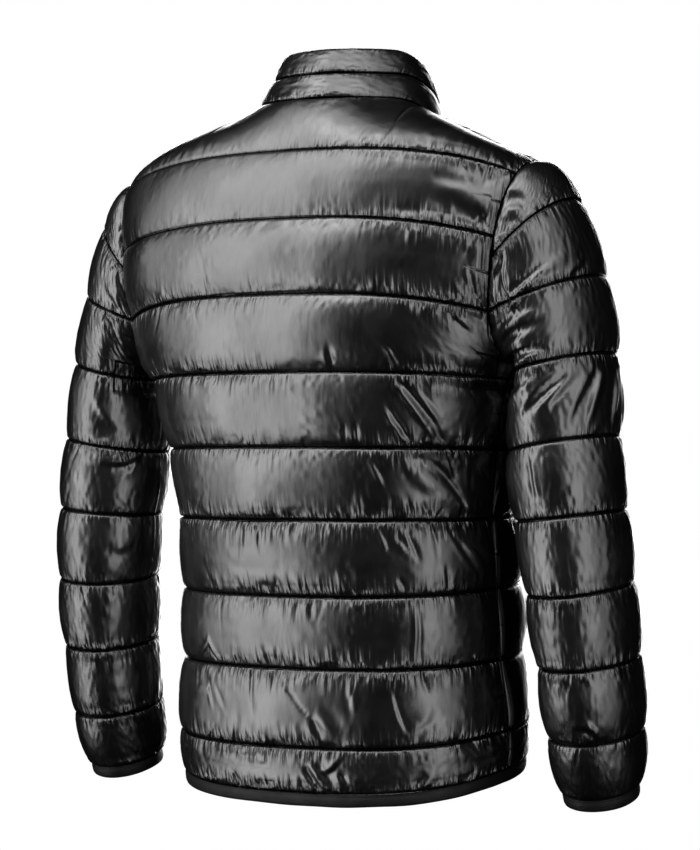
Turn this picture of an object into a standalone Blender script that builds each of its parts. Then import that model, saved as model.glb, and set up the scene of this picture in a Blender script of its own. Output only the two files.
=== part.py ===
"""Quilted puffer jacket, closed to the collar and filled out as if worn.

Metres, +Z up.  The front of the jacket faces -Y and the wearer's left is +X.  The origin is on
the wearer's shoulders: in the middle of the body, level with the neck seam at the centre back.

The body has ten quilted baffles from the neck to the hem, each sleeve nine, the collar two.
Every panel is a grid of points: its rows follow the quilting and its columns run down the cloth.
The inside of a wall is plain, and the quilting is raised in its outer points.
"""
import bmesh
import bpy
import numpy as np
from mathutils import Matrix

# ---------------------------------------------------------------- driving dimensions (metres)
MM = 0.001
WALL = 2.5 * MM              # cloth, filling and lining where they are stitched together
SEAM_GAP = 0.3 * MM          # between two pieces sewn to each other
STEPS = 4                    # grid rows in one baffle
BODY_FULLNESS = 2.6          # exponent of the body's outline: 2 is an ellipse, more is boxier
ARMHOLE_FULLNESS = 2.3

BODY_PUFF = 0.10            # height of a baffle's crown, as a share of the baffle's own height
YOKE_PUFF = 0.045            # the same where the wearer's shoulders press the filling flat
COLLAR_PUFF = 0.17
SLEEVE_PUFF = 6.0 * MM
UNDERARM_FLAT = 0.2          # share of the quilting's height left where arm and body press it
PUFF_SHAPE = 0.42            # below 1: steep beside the stitching, flat on the crown

# Body, one row for each quilt line: heights at the centre back, side seam and centre front,
# half width, depth behind and in front of the middle, and how far back the side seam lies.
BODY_COLUMNS = ("line", "back_z", "side_z", "front_z", "half_width", "back_y", "front_y", "side_y")
BODY = (
    # line  back_z  side_z  front_z  half_w  back_y front_y side_y   (mm)
    (1.00, -52.0, -77.0, -80.0, 232.0, 115.0, -106.0, 27.0),
    (2.00, -119.0, -138.0, -130.0, 217.0, 133.0, -119.0, 27.0),
    (3.00, -192.0, -210.0, -198.0, 207.0, 140.0, -129.0, 27.0),
    (3.75, -248.0, -257.0, -250.0, 204.0, 139.0, -132.0, 27.0),
    (4.00, -267.0, -274.0, -268.0, 193.0, 138.0, -132.0, 23.0),
    (5.00, -339.0, -341.0, -336.0, 176.0, 131.0, -128.0, 15.0),
    (6.00, -409.0, -408.0, -404.0, 167.0, 125.0, -123.0, 9.0),
    (7.00, -483.0, -476.0, -469.0, 168.0, 118.0, -126.0, 1.0),
    (8.00, -553.0, -545.0, -535.0, 169.0, 114.0, -131.0, -5.0),
    (9.00, -629.0, -614.0, -599.0, 176.0, 116.0, -132.0, -8.0),
    (10.0, -673.0, -652.0, -631.0, 174.0, 113.0, -129.0, -9.0),
)
HEM_LINE = 10.0
ARMPIT_LINE = 3.75           # the armhole's lowest point, between the third and fourth quilt lines

# Armhole: a rounded loop that stands nearly upright beside the body.
ARMHOLE_Y = 29.0 * MM
ARMHOLE_Z = -162.5 * MM
ARMHOLE_HALF_HEIGHT = 94.5 * MM
ARMHOLE_HALF_DEPTH = 60.5 * MM
# (turn round the loop from the shoulder tip in degrees, distance from the middle in mm)
ARMHOLE_X_BACK = ((0, 232.0), (33, 226.0), (80, 214.5), (118, 205.0), (150, 203.5), (180, 204.0))
ARMHOLE_X_FRONT = ((0, 232.0), (39, 222.0), (82, 208.0), (116, 201.0), (150, 202.0), (180, 204.0))
# (quilt line, turn at which it meets the armhole)
ARMHOLE_TURN_BACK = ((0, 0.0), (1, 33.0), (2, 80.0), (3, 118.0), (3.75, 180.0))
ARMHOLE_TURN_FRONT = ((0, 0.0), (1, 39.0), (2, 82.0), (3, 116.0), (3.75, 180.0))

# Shoulder seam from the side of the neck to the shoulder tip: x, y, z in mm.
SHOULDER_SEAM = ((90.0, -5.0, -12.0), (131.0, 12.0, -31.0), (177.0, 22.0, -49.0), (232.0, 29.0, -68.0))

# Collar rings: half width, middle y, half depth, height at the back, drop to the front (mm),
# and the turns between which the ring drops (0 at the centre back, 180 at the centre front).
COLLAR_COLUMNS = ("half_width", "mid_y", "half_depth", "back_z", "drop", "from_turn", "to_turn")
COLLAR = (
    (90.0, -5.0, 91.0, 0.0, 62.0, 55.0, 180.0),        # neck seam
    (82.0, -15.0, 86.0, 26.0, 64.0, 60.0, 180.0),      # quilt line
    (73.5, -21.0, 76.0, 52.0, 64.0, 58.0, 168.0),      # top edge
)

# Sleeve, one row for each quilt line from the armpit down: the ring's middle, half depth, how far
# it reaches out and in, and how much it rises outwards and forwards.
SLEEVE_COLUMNS = ("line", "x", "y", "z", "half_depth", "out", "in", "rise_out", "rise_front")
SLEEVE = (
    # line   x      y      z    depth   out    in    rise_out rise_front
    (4.0, 249.0, 26.0, -263.0, 62.0, 53.0, 29.0, 0.24, 0.00),
    (5.0, 261.0, 34.0, -336.0, 56.0, 50.0, 50.0, 0.16, 0.00),
    (6.0, 270.0, 35.0, -403.0, 52.0, 48.0, 53.0, 0.10, 0.05),
    (7.0, 276.0, 31.0, -471.0, 51.0, 47.0, 49.0, 0.06, 0.16),
    (8.0, 280.0, 20.0, -539.0, 49.0, 45.5, 45.5, 0.03, 0.20),
    (9.0, 280.5, 7.0, -607.0, 46.0, 43.0, 43.0, 0.00, 0.25),
    (10.0, 279.0, -4.0, -661.0, 38.0, 35.5, 35.5, -0.02, 0.28),
)
SLEEVE_LINES = (0.0, 2.25, 3.0, 4.0, 5.0, 6.0, 7.0, 8.0, 9.0, 10.0)
# (row, height of its outermost point in mm) for the rows that end on the armhole
SLEEVE_OUTER_Z = ((0, -68.0), (1.0, -77.0), (2.25, -104.0), (3, -177.0), (3.75, -236.0))
CAP_OUT = 0.66               # how far the sleeve runs straight out of the armhole before it turns
CAP_DOWN = 0.38
CAP_SPREAD = 0.30
CAP_FORWARD = 0.25           # the cap bulges forwards over the point of the shoulder

# Grid columns.
BACK_NECK_COLUMNS = 5        # from the centre back to the side of the neck
FRONT_NECK_COLUMNS = 6       # from the zip to the side of the neck
SHOULDER_COLUMNS = 8
SLEEVE_COLUMNS_ROUND = 24
BACK_NECK_SHARE = 0.30       # share of a back row below the neck
FRONT_NECK_SHARE = 0.27
YOKE_ROUND = 0.5             # how far the top baffle carries on over the shoulder before it falls

BINDING_HEIGHT = 12.0 * MM
BINDING_THICK = 3.6 * MM

ZIP_EDGE = 11.0 * MM         # from the middle to the cloth's edge beside the zip
CHAIN_HALF = 2.7 * MM
CHAIN_THICK = 2.2 * MM
TAPE_THICK = 1.5 * MM

SLIDER_WIDTH = 8.4 * MM
SLIDER_LENGTH = 11.0 * MM
SLIDER_PLATE = 1.2 * MM
SLIDER_BELOW_TOP = 9.0 * MM  # its middle below the collar's top edge
EAR_INSIDE = 1.6 * MM        # from the middle to the inner side of each ear
EAR_THICK = 0.9 * MM
EAR_HALF_LENGTH = 1.5 * MM
PIN_RADIUS = 0.6 * MM
PIN_OUT = 3.2 * MM           # hinge axis in front of the slider's face
KNUCKLE_RADIUS = 1.5 * MM
KNUCKLE_BORE = 0.85 * MM
KNUCKLE_HALF = 1.3 * MM
TAB_LENGTH = 24.0 * MM
TAB_NECK = 3.4 * MM
TAB_HALF_WIDTH = 3.3 * MM
TAB_THICK = 1.2 * MM

BLACK_NYLON = ((0.012, 0.012, 0.013), 0.28, 0.0)
BLACK_BINDING = ((0.010, 0.010, 0.010), 0.85, 0.0)
BLACK_TAPE = ((0.014, 0.014, 0.015), 0.80, 0.0)
BLACK_COIL = ((0.020, 0.020, 0.021), 0.45, 0.0)
DARK_METAL = ((0.090, 0.090, 0.095), 0.35, 1.0)


# ---------------------------------------------------------------- small mathematics
def unit(vectors):
    """Each vector at length 1."""
    vectors = np.asarray(vectors, float)
    return vectors / np.maximum(np.linalg.norm(vectors, axis=-1, keepdims=True), 1e-12)


def smooth_step(x):
    x = np.clip(x, 0.0, 1.0)
    return x * x * (3.0 - 2.0 * x)


def through(knots, values, where):
    """A smooth curve through the values of a short table, read at `where`."""
    knots, values = np.asarray(knots, float), np.asarray(values, float)
    slopes = np.gradient(values, knots)
    i = np.clip(np.searchsorted(knots, where, side="right") - 1, 0, len(knots) - 2)
    step = knots[i + 1] - knots[i]
    s = (where - knots[i]) / step
    return ((1 + 2 * s) * (1 - s) ** 2 * values[i] + s * (1 - s) ** 2 * step * slopes[i]
            + s * s * (3 - 2 * s) * values[i + 1] + s * s * (s - 1) * step * slopes[i + 1])


def hermite(start, end, leave, arrive, s):
    """Point at share s of the curve that leaves start along `leave` and reaches end along `arrive`."""
    return ((1 + 2 * s) * (1 - s) ** 2 * start + s * (1 - s) ** 2 * leave
            + s * s * (3 - 2 * s) * end + s * s * (s - 1) * arrive)


def rounded(angle, fullness):
    """Sine and cosine of a rounded rectangle's outline, fuller than an ellipse's."""
    sine, cosine = np.sin(angle), np.cos(angle)
    power = 2.0 / fullness
    return (np.sign(sine) * np.abs(sine) ** power, np.sign(cosine) * np.abs(cosine) ** power)


def body_size(column, line):
    """A column of the BODY table at any line, in metres."""
    k = BODY_COLUMNS.index(column)
    return MM * through([row[0] for row in BODY], [row[k] for row in BODY], line)


def sleeve_size(column, line):
    """A column of the SLEEVE table at any line: metres, or a slope."""
    k = SLEEVE_COLUMNS.index(column)
    scale = 1.0 if column.startswith("rise") else MM
    return scale * through([row[0] for row in SLEEVE], [row[k] for row in SLEEVE], line)


# ---------------------------------------------------------------- seams that two pieces share
def armhole(turn, is_back):
    """Point of the left armhole at a turn in degrees: 0 at the shoulder tip, 180 at the armpit."""
    across, up = rounded(np.radians(turn), ARMHOLE_FULLNESS)
    table = ARMHOLE_X_BACK if is_back else ARMHOLE_X_FRONT
    x = MM * through([t for t, _ in table], [x for _, x in table], turn)
    y = ARMHOLE_Y + (ARMHOLE_HALF_DEPTH if is_back else -ARMHOLE_HALF_DEPTH) * across
    return np.array([x, y, ARMHOLE_Z + ARMHOLE_HALF_HEIGHT * up])


def armhole_turn(line, is_back):
    table = ARMHOLE_TURN_BACK if is_back else ARMHOLE_TURN_FRONT
    return float(np.interp(line, [v for v, _ in table], [t for _, t in table]))


def armhole_outward(line, is_back):
    """Direction across the wall at the armhole, square to the loop and to the X axis."""
    turn = armhole_turn(line, is_back)
    before, after = armhole(max(turn - 4.0, 0.0), is_back), armhole(min(turn + 4.0, 180.0), is_back)
    along = after - before
    sign = 1.0 if is_back else -1.0
    return unit([0.0, -sign * along[2], sign * along[1]])


def collar_ring(ring, turns):
    """Points of one collar ring at turns in degrees from the centre back, on the wearer's left."""
    size = dict(zip(COLLAR_COLUMNS, COLLAR[ring]))
    a = np.radians(turns)
    fall = smooth_step((turns - size["from_turn"]) / (size["to_turn"] - size["from_turn"]))
    return MM * np.stack([size["half_width"] * np.sin(a),
                          size["mid_y"] + size["half_depth"] * np.cos(a),
                          size["back_z"] - size["drop"] * fall], axis=-1)


def zip_turn(ring):
    """Turn at which a collar ring reaches the cloth's edge beside the zip."""
    return 180.0 - np.degrees(np.arcsin(ZIP_EDGE / (COLLAR[ring][0] * MM)))


def collar_turns(ring):
    """Turns of the left half's columns, from the centre back to the zip."""
    back = np.linspace(0.0, 90.0, BACK_NECK_COLUMNS + 1)
    front = np.linspace(90.0, zip_turn(ring), FRONT_NECK_COLUMNS + 1)
    return np.concatenate([back, front[1:]])


def neck_outward(turns):
    """Direction across the wall at the neck seam, and the direction up into the collar."""
    a = np.radians(turns)
    radial = np.stack([np.sin(a), np.cos(a), np.zeros_like(a)], axis=-1)
    rise = np.array([0.0, 0.0, 1.0])
    return 0.74 * radial + 0.67 * rise, 0.74 * rise - 0.67 * radial


def shoulder_points():
    """Points of the left shoulder seam, from the neck to the tip."""
    table = MM * np.array(SHOULDER_SEAM)
    knots = np.concatenate([[0.0], np.cumsum(np.linalg.norm(np.diff(table, axis=0), axis=1))])
    where = np.linspace(0.0, knots[-1], SHOULDER_COLUMNS + 1)
    return np.stack([through(knots, table[:, k], where) for k in range(3)], axis=-1)


# ---------------------------------------------------------------- body panels (left half)
def column_shares(is_back):
    """Where the columns of a half panel lie along each row: 0 in the middle, 1 at the side."""
    neck = BACK_NECK_COLUMNS if is_back else FRONT_NECK_COLUMNS
    share = BACK_NECK_SHARE if is_back else FRONT_NECK_SHARE
    return np.concatenate([np.linspace(0.0, share, neck + 1),
                           np.linspace(share, 1.0, SHOULDER_COLUMNS + 1)[1:]])


def body_row(line, is_back, shares):
    """Points of one level of the body, from the middle to the armhole or the side seam."""
    depth = body_size("back_y" if is_back else "front_y", line)
    middle_z = body_size("back_z" if is_back else "front_z", line)
    side_y = body_size("side_y", line)
    if line < ARMPIT_LINE:
        end = armhole(armhole_turn(line, is_back), is_back)
    else:
        end = np.array([body_size("half_width", line), side_y, body_size("side_z", line)])
    out_share = abs((end[1] - side_y) / (depth - side_y)) ** BODY_FULLNESS
    half_width = end[0] / (1.0 - out_share) ** (1.0 / BODY_FULLNESS)
    last = np.arcsin(min(1.0, (end[0] / half_width) ** (BODY_FULLNESS / 2.0)))
    first = 0.0 if is_back else np.arcsin((ZIP_EDGE / half_width) ** (BODY_FULLNESS / 2.0))
    sine, cosine = rounded(first + (last - first) * shares, BODY_FULLNESS)
    z = middle_z + (end[2] - middle_z) * (1.0 - np.cos(shares * np.pi / 2.0))
    return np.stack([half_width * sine, side_y + (depth - side_y) * cosine, z], axis=-1)


def top_row(is_back):
    """Neck seam and shoulder seam in one row, from the middle to the shoulder tip."""
    turns = collar_turns(0)
    if is_back:
        neck = collar_ring(0, turns[:BACK_NECK_COLUMNS + 1])
    else:
        neck = collar_ring(0, turns[BACK_NECK_COLUMNS:])[::-1]
    return np.concatenate([neck, shoulder_points()[1:]])


def top_slopes(is_back):
    """Direction in which each column leaves the top row, over the shoulder or down from the neck."""
    neck = BACK_NECK_COLUMNS if is_back else FRONT_NECK_COLUMNS
    top = top_row(is_back)
    toward = body_row(1.0, is_back, column_shares(is_back)) - top
    down = np.arctan2(-toward[:, 2], np.linalg.norm(toward[:, :2], axis=1)) * 0.6
    flat = unit(toward * [1.0, 1.0, 0.0])
    leave = flat * np.cos(down)[:, None] + np.array([0.0, 0.0, -1.0]) * np.sin(down)[:, None]
    back = body_row(1.0, True, column_shares(True))[BACK_NECK_COLUMNS:] - shoulder_points()
    front = body_row(1.0, False, column_shares(False))[FRONT_NECK_COLUMNS:] - shoulder_points()
    over = unit(unit(back) - unit(front))
    leave[neck:] = over if is_back else -over
    return leave


def body_half(is_back):
    """Base points of the left half of the back, or of the left front: rows by columns."""
    shares = column_shares(is_back)
    first = body_row(1.0, is_back, shares)
    onward = unit(body_row(1.05, is_back, shares) - first)
    top, leave = top_row(is_back), top_slopes(is_back)
    length = np.linalg.norm(first - top, axis=1, keepdims=True)
    rows = []
    for i in range(int(HEM_LINE) * STEPS + 1):
        line = i / STEPS
        if line < 1.0:
            row = hermite(top, first, leave * length * YOKE_ROUND, onward * length, line)
            miss = armhole(armhole_turn(line, is_back), is_back) - row[-1]
            row = row + miss * (shares ** 4)[:, None]
        else:
            row = body_row(line, is_back, shares)
        rows.append(row)
    return np.array(rows)


# ---------------------------------------------------------------- sleeve (left)
def sleeve_ring(line, turns):
    """Points of a closed sleeve ring: turn 0 at the underarm, 90 behind, 180 outside, 270 in front."""
    a = np.radians(turns)
    outward = -np.cos(a)
    reach = np.where(outward > 0.0, sleeve_size("out", line), sleeve_size("in", line)) * outward
    back = sleeve_size("half_depth", line) * np.sin(a)
    z = (sleeve_size("z", line) + sleeve_size("rise_out", line) * reach
         - sleeve_size("rise_front", line) * back)
    return np.stack([sleeve_size("x", line) + reach, sleeve_size("y", line) + back, z], axis=-1)


def loop_samples():
    """The whole armhole as closely spaced turns of the sleeve's columns, with its points."""
    fine = np.linspace(0.0, 180.0, 181)
    back = np.array([armhole(t, True) for t in fine[::-1]])
    front = np.array([armhole(t, False) for t in fine])
    points = np.concatenate([back, front[1:]])
    length = np.concatenate([[0.0], np.cumsum(np.linalg.norm(np.diff(points, axis=0), axis=1))])
    tip = length[180]
    turns = np.where(length <= tip, 180.0 * length / tip,
                     180.0 + 180.0 * (length - tip) / (length[-1] - tip))
    return turns, points


def cap_point(turns, along, loop):
    """Point on the sleeve's upper part: `along` is 0 on the armhole and 1 on the first full ring."""
    start = np.stack([np.interp(turns, loop[0], loop[1][:, k]) for k in range(3)], axis=-1)
    end = sleeve_ring(4.0, turns)
    length = np.linalg.norm(end - start, axis=-1, keepdims=True)
    spread = (start[..., 1] - ARMHOLE_Y) / ARMHOLE_HALF_DEPTH
    leave = unit(np.stack([np.ones_like(spread), CAP_SPREAD * spread - CAP_FORWARD,
                           np.full_like(spread, -CAP_DOWN)], axis=-1)) * length * CAP_OUT
    arrive = unit(sleeve_ring(4.5, turns) - end) * length
    return hermite(start, end, leave, arrive, along[..., None])


def cap_row(line, loop):
    """A sleeve row that ends on the armhole: the cut of the sleeve by a slanting plane."""
    back = armhole(armhole_turn(line, True), True)
    front = armhole(armhole_turn(line, False), False)
    first = np.interp(armhole_turn(line, True), *turn_of_armhole(loop, True))
    last = np.interp(armhole_turn(line, False), *turn_of_armhole(loop, False))
    turns = np.linspace(first, last, SLEEVE_COLUMNS_ROUND + 1)
    outer_z = MM * np.interp(line, [v for v, _ in SLEEVE_OUTER_Z], [z for _, z in SLEEVE_OUTER_Z])
    outer_turn = np.array([180.0])
    low, high = np.zeros(1), np.ones(1)
    for _ in range(30):
        middle = (low + high) / 2.0
        above = cap_point(outer_turn, middle, loop)[:, 2] > outer_z
        low, high = np.where(above, middle, low), np.where(above, high, middle)
    outer = cap_point(outer_turn, low, loop)[0]
    if line < ARMPIT_LINE:
        across = back - front
    else:
        across = np.array([0.0, 1.0, 0.0])
    normal = np.cross(across, outer - back)
    normal = normal / normal[2]
    low, high = np.zeros_like(turns), np.ones_like(turns)
    for _ in range(30):
        middle = (low + high) / 2.0
        above = (cap_point(turns, middle, loop) - back) @ normal > 0.0
        low, high = np.where(above, middle, low), np.where(above, high, middle)
    row = cap_point(turns, low, loop)
    row[0], row[-1] = back, front
    return row


def turn_of_armhole(loop, is_back):
    """Tables that give the sleeve's column turn for a turn round one half of the armhole."""
    fine = np.linspace(0.0, 180.0, 181)
    return (fine, loop[0][180::-1]) if is_back else (fine, loop[0][180:])


def sleeve_rows():
    """Base points of the left sleeve: rows by columns, the first row gathered in the shoulder tip."""
    loop = loop_samples()
    rows = []
    for i in range(int(SLEEVE_LINES[-1]) * STEPS + 1):
        line = i / STEPS
        if line == 0.0:
            rows.append(np.repeat([armhole(0.0, True)], SLEEVE_COLUMNS_ROUND + 1, axis=0))
        elif line <= ARMPIT_LINE:
            rows.append(cap_row(line, loop))
        else:
            turns = np.linspace(0.0, 360.0, SLEEVE_COLUMNS_ROUND + 1)
            rows.append(sleeve_ring(line, turns))
    return np.array(rows)


# ---------------------------------------------------------------- walls from grids of points
def grid_normals(grid, wrap_from=None):
    """Outward direction at each grid point, from its neighbours."""
    down = np.gradient(grid, axis=0)
    along = np.gradient(grid, axis=1)
    if wrap_from is not None:
        turn = (grid[wrap_from:, 1] - grid[wrap_from:, -2]) / 2.0
        along[wrap_from:, 0] = along[wrap_from:, -1] = turn
    return unit(np.cross(down, along))


def crown(line, lines):
    """Height of the quilting at a row, from 0 on a quilt line to 1 half way between two."""
    k = int(np.clip(np.searchsorted(lines, line, side="right") - 1, 0, len(lines) - 2))
    s = (line - lines[k]) / (lines[k + 1] - lines[k])
    return np.sin(np.pi * np.clip(s, 0.0, 1.0)) ** PUFF_SHAPE


def baffle_heights(grid):
    """Height of the baffle that each grid point lies in."""
    last = len(grid) - 1
    heights = np.zeros(grid.shape[:2])
    for i in range(len(grid)):
        top = min(i // STEPS * STEPS, last - STEPS)
        heights[i] = np.linalg.norm(grid[top + STEPS] - grid[top], axis=-1)
    return heights


def strip(faces, outer, inner, kept):
    """Faces that close the edge between a fine outer row of points and a coarse inner one."""
    for a, b in zip(kept[:-1], kept[1:]):
        half = (a + b + 1) // 2
        for j in range(a, half):
            faces.append((inner[a], outer[j], outer[j + 1]))
        faces.append((inner[a], outer[half], inner[b]))
        for j in range(half, b):
            faces.append((inner[b], outer[j], outer[j + 1]))


def wall(name, outer, inner, rows, columns, tip=False, wrap_from=None):
    """Closed solid between an outer grid and the kept rows and columns of an inner one.

    tip: the first row is a single point.  wrap_from: from this row down the grid is a tube.
    """
    points, outer_id, inner_id, faces = [], {}, {}, []

    def number(grid, ids, r, c):
        if tip and r == 0:
            c = 0
        if wrap_from is not None and r >= wrap_from and c == grid.shape[1] - 1:
            c = 0
        if (r, c) not in ids:
            ids[r, c] = len(points)
            points.append(grid[r, c])
        return ids[r, c]

    def out(r, c):
        return number(outer, outer_id, r, c)

    def ins(r, c):
        return number(inner, inner_id, r, c)

    last_row, last_column = outer.shape[0] - 1, outer.shape[1] - 1
    for r in range(last_row):
        for c in range(last_column):
            faces.append((out(r, c), out(r + 1, c), out(r + 1, c + 1), out(r, c + 1)))
    for r, r2 in zip(rows[:-1], rows[1:]):
        for c, c2 in zip(columns[:-1], columns[1:]):
            faces.append((ins(r, c), ins(r, c2), ins(r2, c2), ins(r2, c)))
    side_rows = [r for r in rows if wrap_from is None or r <= wrap_from]
    for c in (0, last_column):
        strip(faces, {r: out(r, c) for r in range(side_rows[-1] + 1)},
              {r: ins(r, c) for r in side_rows}, side_rows)
    for r in (last_row,) if tip else (0, last_row):
        strip(faces, {c: out(r, c) for c in range(last_column + 1)},
              {c: ins(r, c) for c in columns}, columns)
    return solid(name, points, faces)


def solid(name, points, faces):
    """Mesh object from points and faces, with repeated corners dropped and faces turned outwards."""
    mesh = bpy.data.meshes.new(name)
    clean = []
    for face in faces:
        corners = [v for k, v in enumerate(face) if v != face[k - 1]]
        if len(set(corners)) >= 3:
            clean.append(corners)
    mesh.from_pydata([tuple(map(float, p)) for p in points], [], clean)
    bm = bmesh.new()
    bm.from_mesh(mesh)
    bmesh.ops.triangulate(bm, faces=[f for f in bm.faces if len(f.verts) > 3])
    bmesh.ops.recalc_face_normals(bm, faces=bm.faces)
    if bm.calc_volume(signed=True) < 0.0:
        bmesh.ops.reverse_faces(bm, faces=bm.faces)
    bm.to_mesh(mesh)
    bm.free()
    return bpy.data.objects.new(name, mesh)


def mirrored(grid):
    """The wearer's right side from the left one."""
    return grid * np.array([-1.0, 1.0, 1.0])


def kept_rows(count):
    """Rows of the plain inside: every second one, and the armpit's."""
    return sorted(set(range(0, count, 2)) | {int(ARMPIT_LINE * STEPS)})


# ---------------------------------------------------------------- pieces
def panel_grids(is_back):
    """Outer and inner points of the left half of the back, or of the left front."""
    base = body_half(is_back)
    armpit = int(ARMPIT_LINE * STEPS)
    neck = BACK_NECK_COLUMNS if is_back else FRONT_NECK_COLUMNS
    if is_back:
        normals = -grid_normals(base)
        normals[:, 0] = unit(normals[:, 0] * [0.0, 1.0, 1.0])
    else:
        normals = grid_normals(base)
        normals[:, 0] = zip_outward(base[:, 0])
    turns = collar_turns(0)
    neck_turns = turns[:neck + 1] if is_back else turns[BACK_NECK_COLUMNS:][::-1]
    out, up = neck_outward(neck_turns)
    sew = (1.0 if is_back else -1.0) * SEAM_GAP / 2.0
    over = unit(np.cross(np.gradient(shoulder_points(), axis=0), top_slopes(is_back)[neck:]))
    over *= np.sign(over[:, 2:3])
    normals[0, neck:] = over
    normals[0, :neck + 1] = out
    normals[armpit:, -1] = (1.0, 0.0, 0.0)
    for i in range(armpit + 1):
        normals[i, -1] = armhole_outward(i / STEPS, is_back)
    sewn = base.copy()
    sewn[0, neck:, 1] += sew
    sewn[0, :neck + 1] -= up * SEAM_GAP / 2.0
    sewn[armpit:, -1, 1] += sew
    sewn[:armpit + 1, -1, 0] -= SEAM_GAP / 2.0
    sewn[-1, :, 2] += SEAM_GAP / 2.0
    lines = np.arange(0.0, HEM_LINE + 1.0)
    puff = baffle_heights(base) * BODY_PUFF
    puff[:STEPS] *= YOKE_PUFF / BODY_PUFF
    puff *= np.array([crown(i / STEPS, lines) for i in range(len(base))])[:, None]
    puff[armpit - 1:armpit + 3, -4:-1] *= UNDERARM_FLAT
    puff[:, -1] = 0.0
    if not is_back:
        puff[:, 0] = 0.0
    return sewn + normals * puff[..., None], sewn - normals * WALL


def zip_outward(path):
    """Direction out of the cloth along the zip, square to its path in the middle plane."""
    along = np.gradient(path, axis=0) * [0.0, 1.0, 1.0]
    return unit(np.stack([0.0 * along[:, 0], along[:, 2], -along[:, 1]], axis=-1))


def back_panel():
    outer, inner = panel_grids(True)
    outer = np.concatenate([mirrored(outer[:, :0:-1]), outer], axis=1)
    inner = np.concatenate([mirrored(inner[:, :0:-1]), inner], axis=1)
    columns = list(range(0, outer.shape[1], 2))
    return wall("back", outer, inner, kept_rows(len(outer)), columns)


def front_panel(name, is_left):
    outer, inner = panel_grids(False)
    if not is_left:
        outer, inner = mirrored(outer), mirrored(inner)
    return wall(name, outer, inner, kept_rows(len(outer)), list(range(0, outer.shape[1], 2)))


def sleeve_grids():
    """Outer and inner points of the left sleeve."""
    base = sleeve_rows()
    armpit = int(ARMPIT_LINE * STEPS)
    normals = -grid_normals(base, wrap_from=armpit)
    for i in range(armpit + 1):
        normals[i, 0] = armhole_outward(i / STEPS, True)
        normals[i, -1] = armhole_outward(i / STEPS, False)
    normals[0] = normals[0, 0]
    sewn = base.copy()
    sewn[0, :, 0] += SEAM_GAP / 2.0
    sewn[1:armpit + 1, 0, 0] += SEAM_GAP / 2.0
    sewn[1:armpit + 1, -1, 0] += SEAM_GAP / 2.0
    puff = np.full(base.shape[:2], SLEEVE_PUFF)
    puff *= np.array([crown(i / STEPS, SLEEVE_LINES) for i in range(len(base))])[:, None]
    puff[armpit:armpit + 3, :5] *= UNDERARM_FLAT
    puff[armpit:armpit + 3, -5:] *= UNDERARM_FLAT
    puff[:armpit + 1, 0] = puff[:armpit + 1, -1] = 0.0
    return sewn + normals * puff[..., None], sewn - normals * WALL


def sleeve(name, is_left):
    outer, inner = sleeve_grids()
    if not is_left:
        outer, inner = mirrored(outer), mirrored(inner)
    return wall(name, outer, inner, kept_rows(len(outer)), list(range(0, outer.shape[1], 2)),
                tip=True, wrap_from=int(ARMPIT_LINE * STEPS))


def collar_half():
    """Base points of the collar's left half, from the centre back to the zip."""
    rings = [collar_ring(k, collar_turns(k)) for k in range(len(COLLAR))]
    count = (len(COLLAR) - 1) * STEPS
    return np.array([np.stack([through(np.arange(len(COLLAR)), [r[c, k] for r in rings], i / STEPS)
                               for c in range(len(rings[0])) for k in range(3)]).reshape(-1, 3)
                     for i in range(count + 1)])[::-1]


def collar():
    """Stand collar, its rows from the top edge down to the neck seam."""
    base = collar_half()
    normals = -grid_normals(base)
    normals[:, 0] = unit(normals[:, 0] * [0.0, 1.0, 1.0])
    normals[:, -1] = zip_outward(base[:, -1])
    out, up = neck_outward(collar_turns(0))
    normals[-1] = out
    sewn = base.copy()
    sewn[-1] += up * SEAM_GAP / 2.0
    lines = np.arange(0.0, len(COLLAR))
    puff = baffle_heights(base) * COLLAR_PUFF
    puff *= np.array([crown(i / STEPS, lines) for i in range(len(base))])[:, None]
    puff[:, -1] = 0.0
    outer, inner = sewn + normals * puff[..., None], sewn - normals * WALL
    outer = np.concatenate([mirrored(outer[:, :0:-1]), outer], axis=1)
    inner = np.concatenate([mirrored(inner[:, :0:-1]), inner], axis=1)
    kept = list(range(0, outer.shape[0], 2))
    return wall("collar", outer, inner, kept, list(range(0, outer.shape[1], 2)))


def binding(name, path, outward, down, closed):
    """Rounded strip of folded tape along an edge, hanging `down` from the path."""
    half = BINDING_THICK / 2.0
    section = ((0.0, 0.4), (0.35, 1.0), (0.80, 0.85), (1.0, 0.0), (0.80, -0.85), (0.35, -1.0), (0.0, -0.6))
    middle = path - outward * WALL / 2.0 + down * SEAM_GAP / 2.0
    rings = np.stack([middle + down * drop * BINDING_HEIGHT + outward * side * half
                      for drop, side in section], axis=1)
    count, around = rings.shape[:2]
    faces = []
    for i in range(count if closed else count - 1):
        j = (i + 1) % count
        for k in range(around):
            m = (k + 1) % around
            faces.append((i * around + k, i * around + m, j * around + m, j * around + k))
    if not closed:
        faces.append(tuple(range(around)))
        faces.append(tuple((count - 1) * around + k for k in range(around)))
    return solid(name, rings.reshape(-1, 3), faces)


def hem_binding():
    """Binding from one side of the zip round the back to the other."""
    front, back = body_half(False), body_half(True)
    path = np.concatenate([front[-1, ::1], back[-1, -2:0:-1]])
    path = np.concatenate([path, [back[-1, 0]], mirrored(path[::-1])])
    along = np.gradient(path, axis=0)
    outward = unit(np.cross(along, [0.0, 0.0, 1.0]))
    return binding("hem_binding", path, outward, np.array([0.0, 0.0, -1.0]), False)


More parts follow.
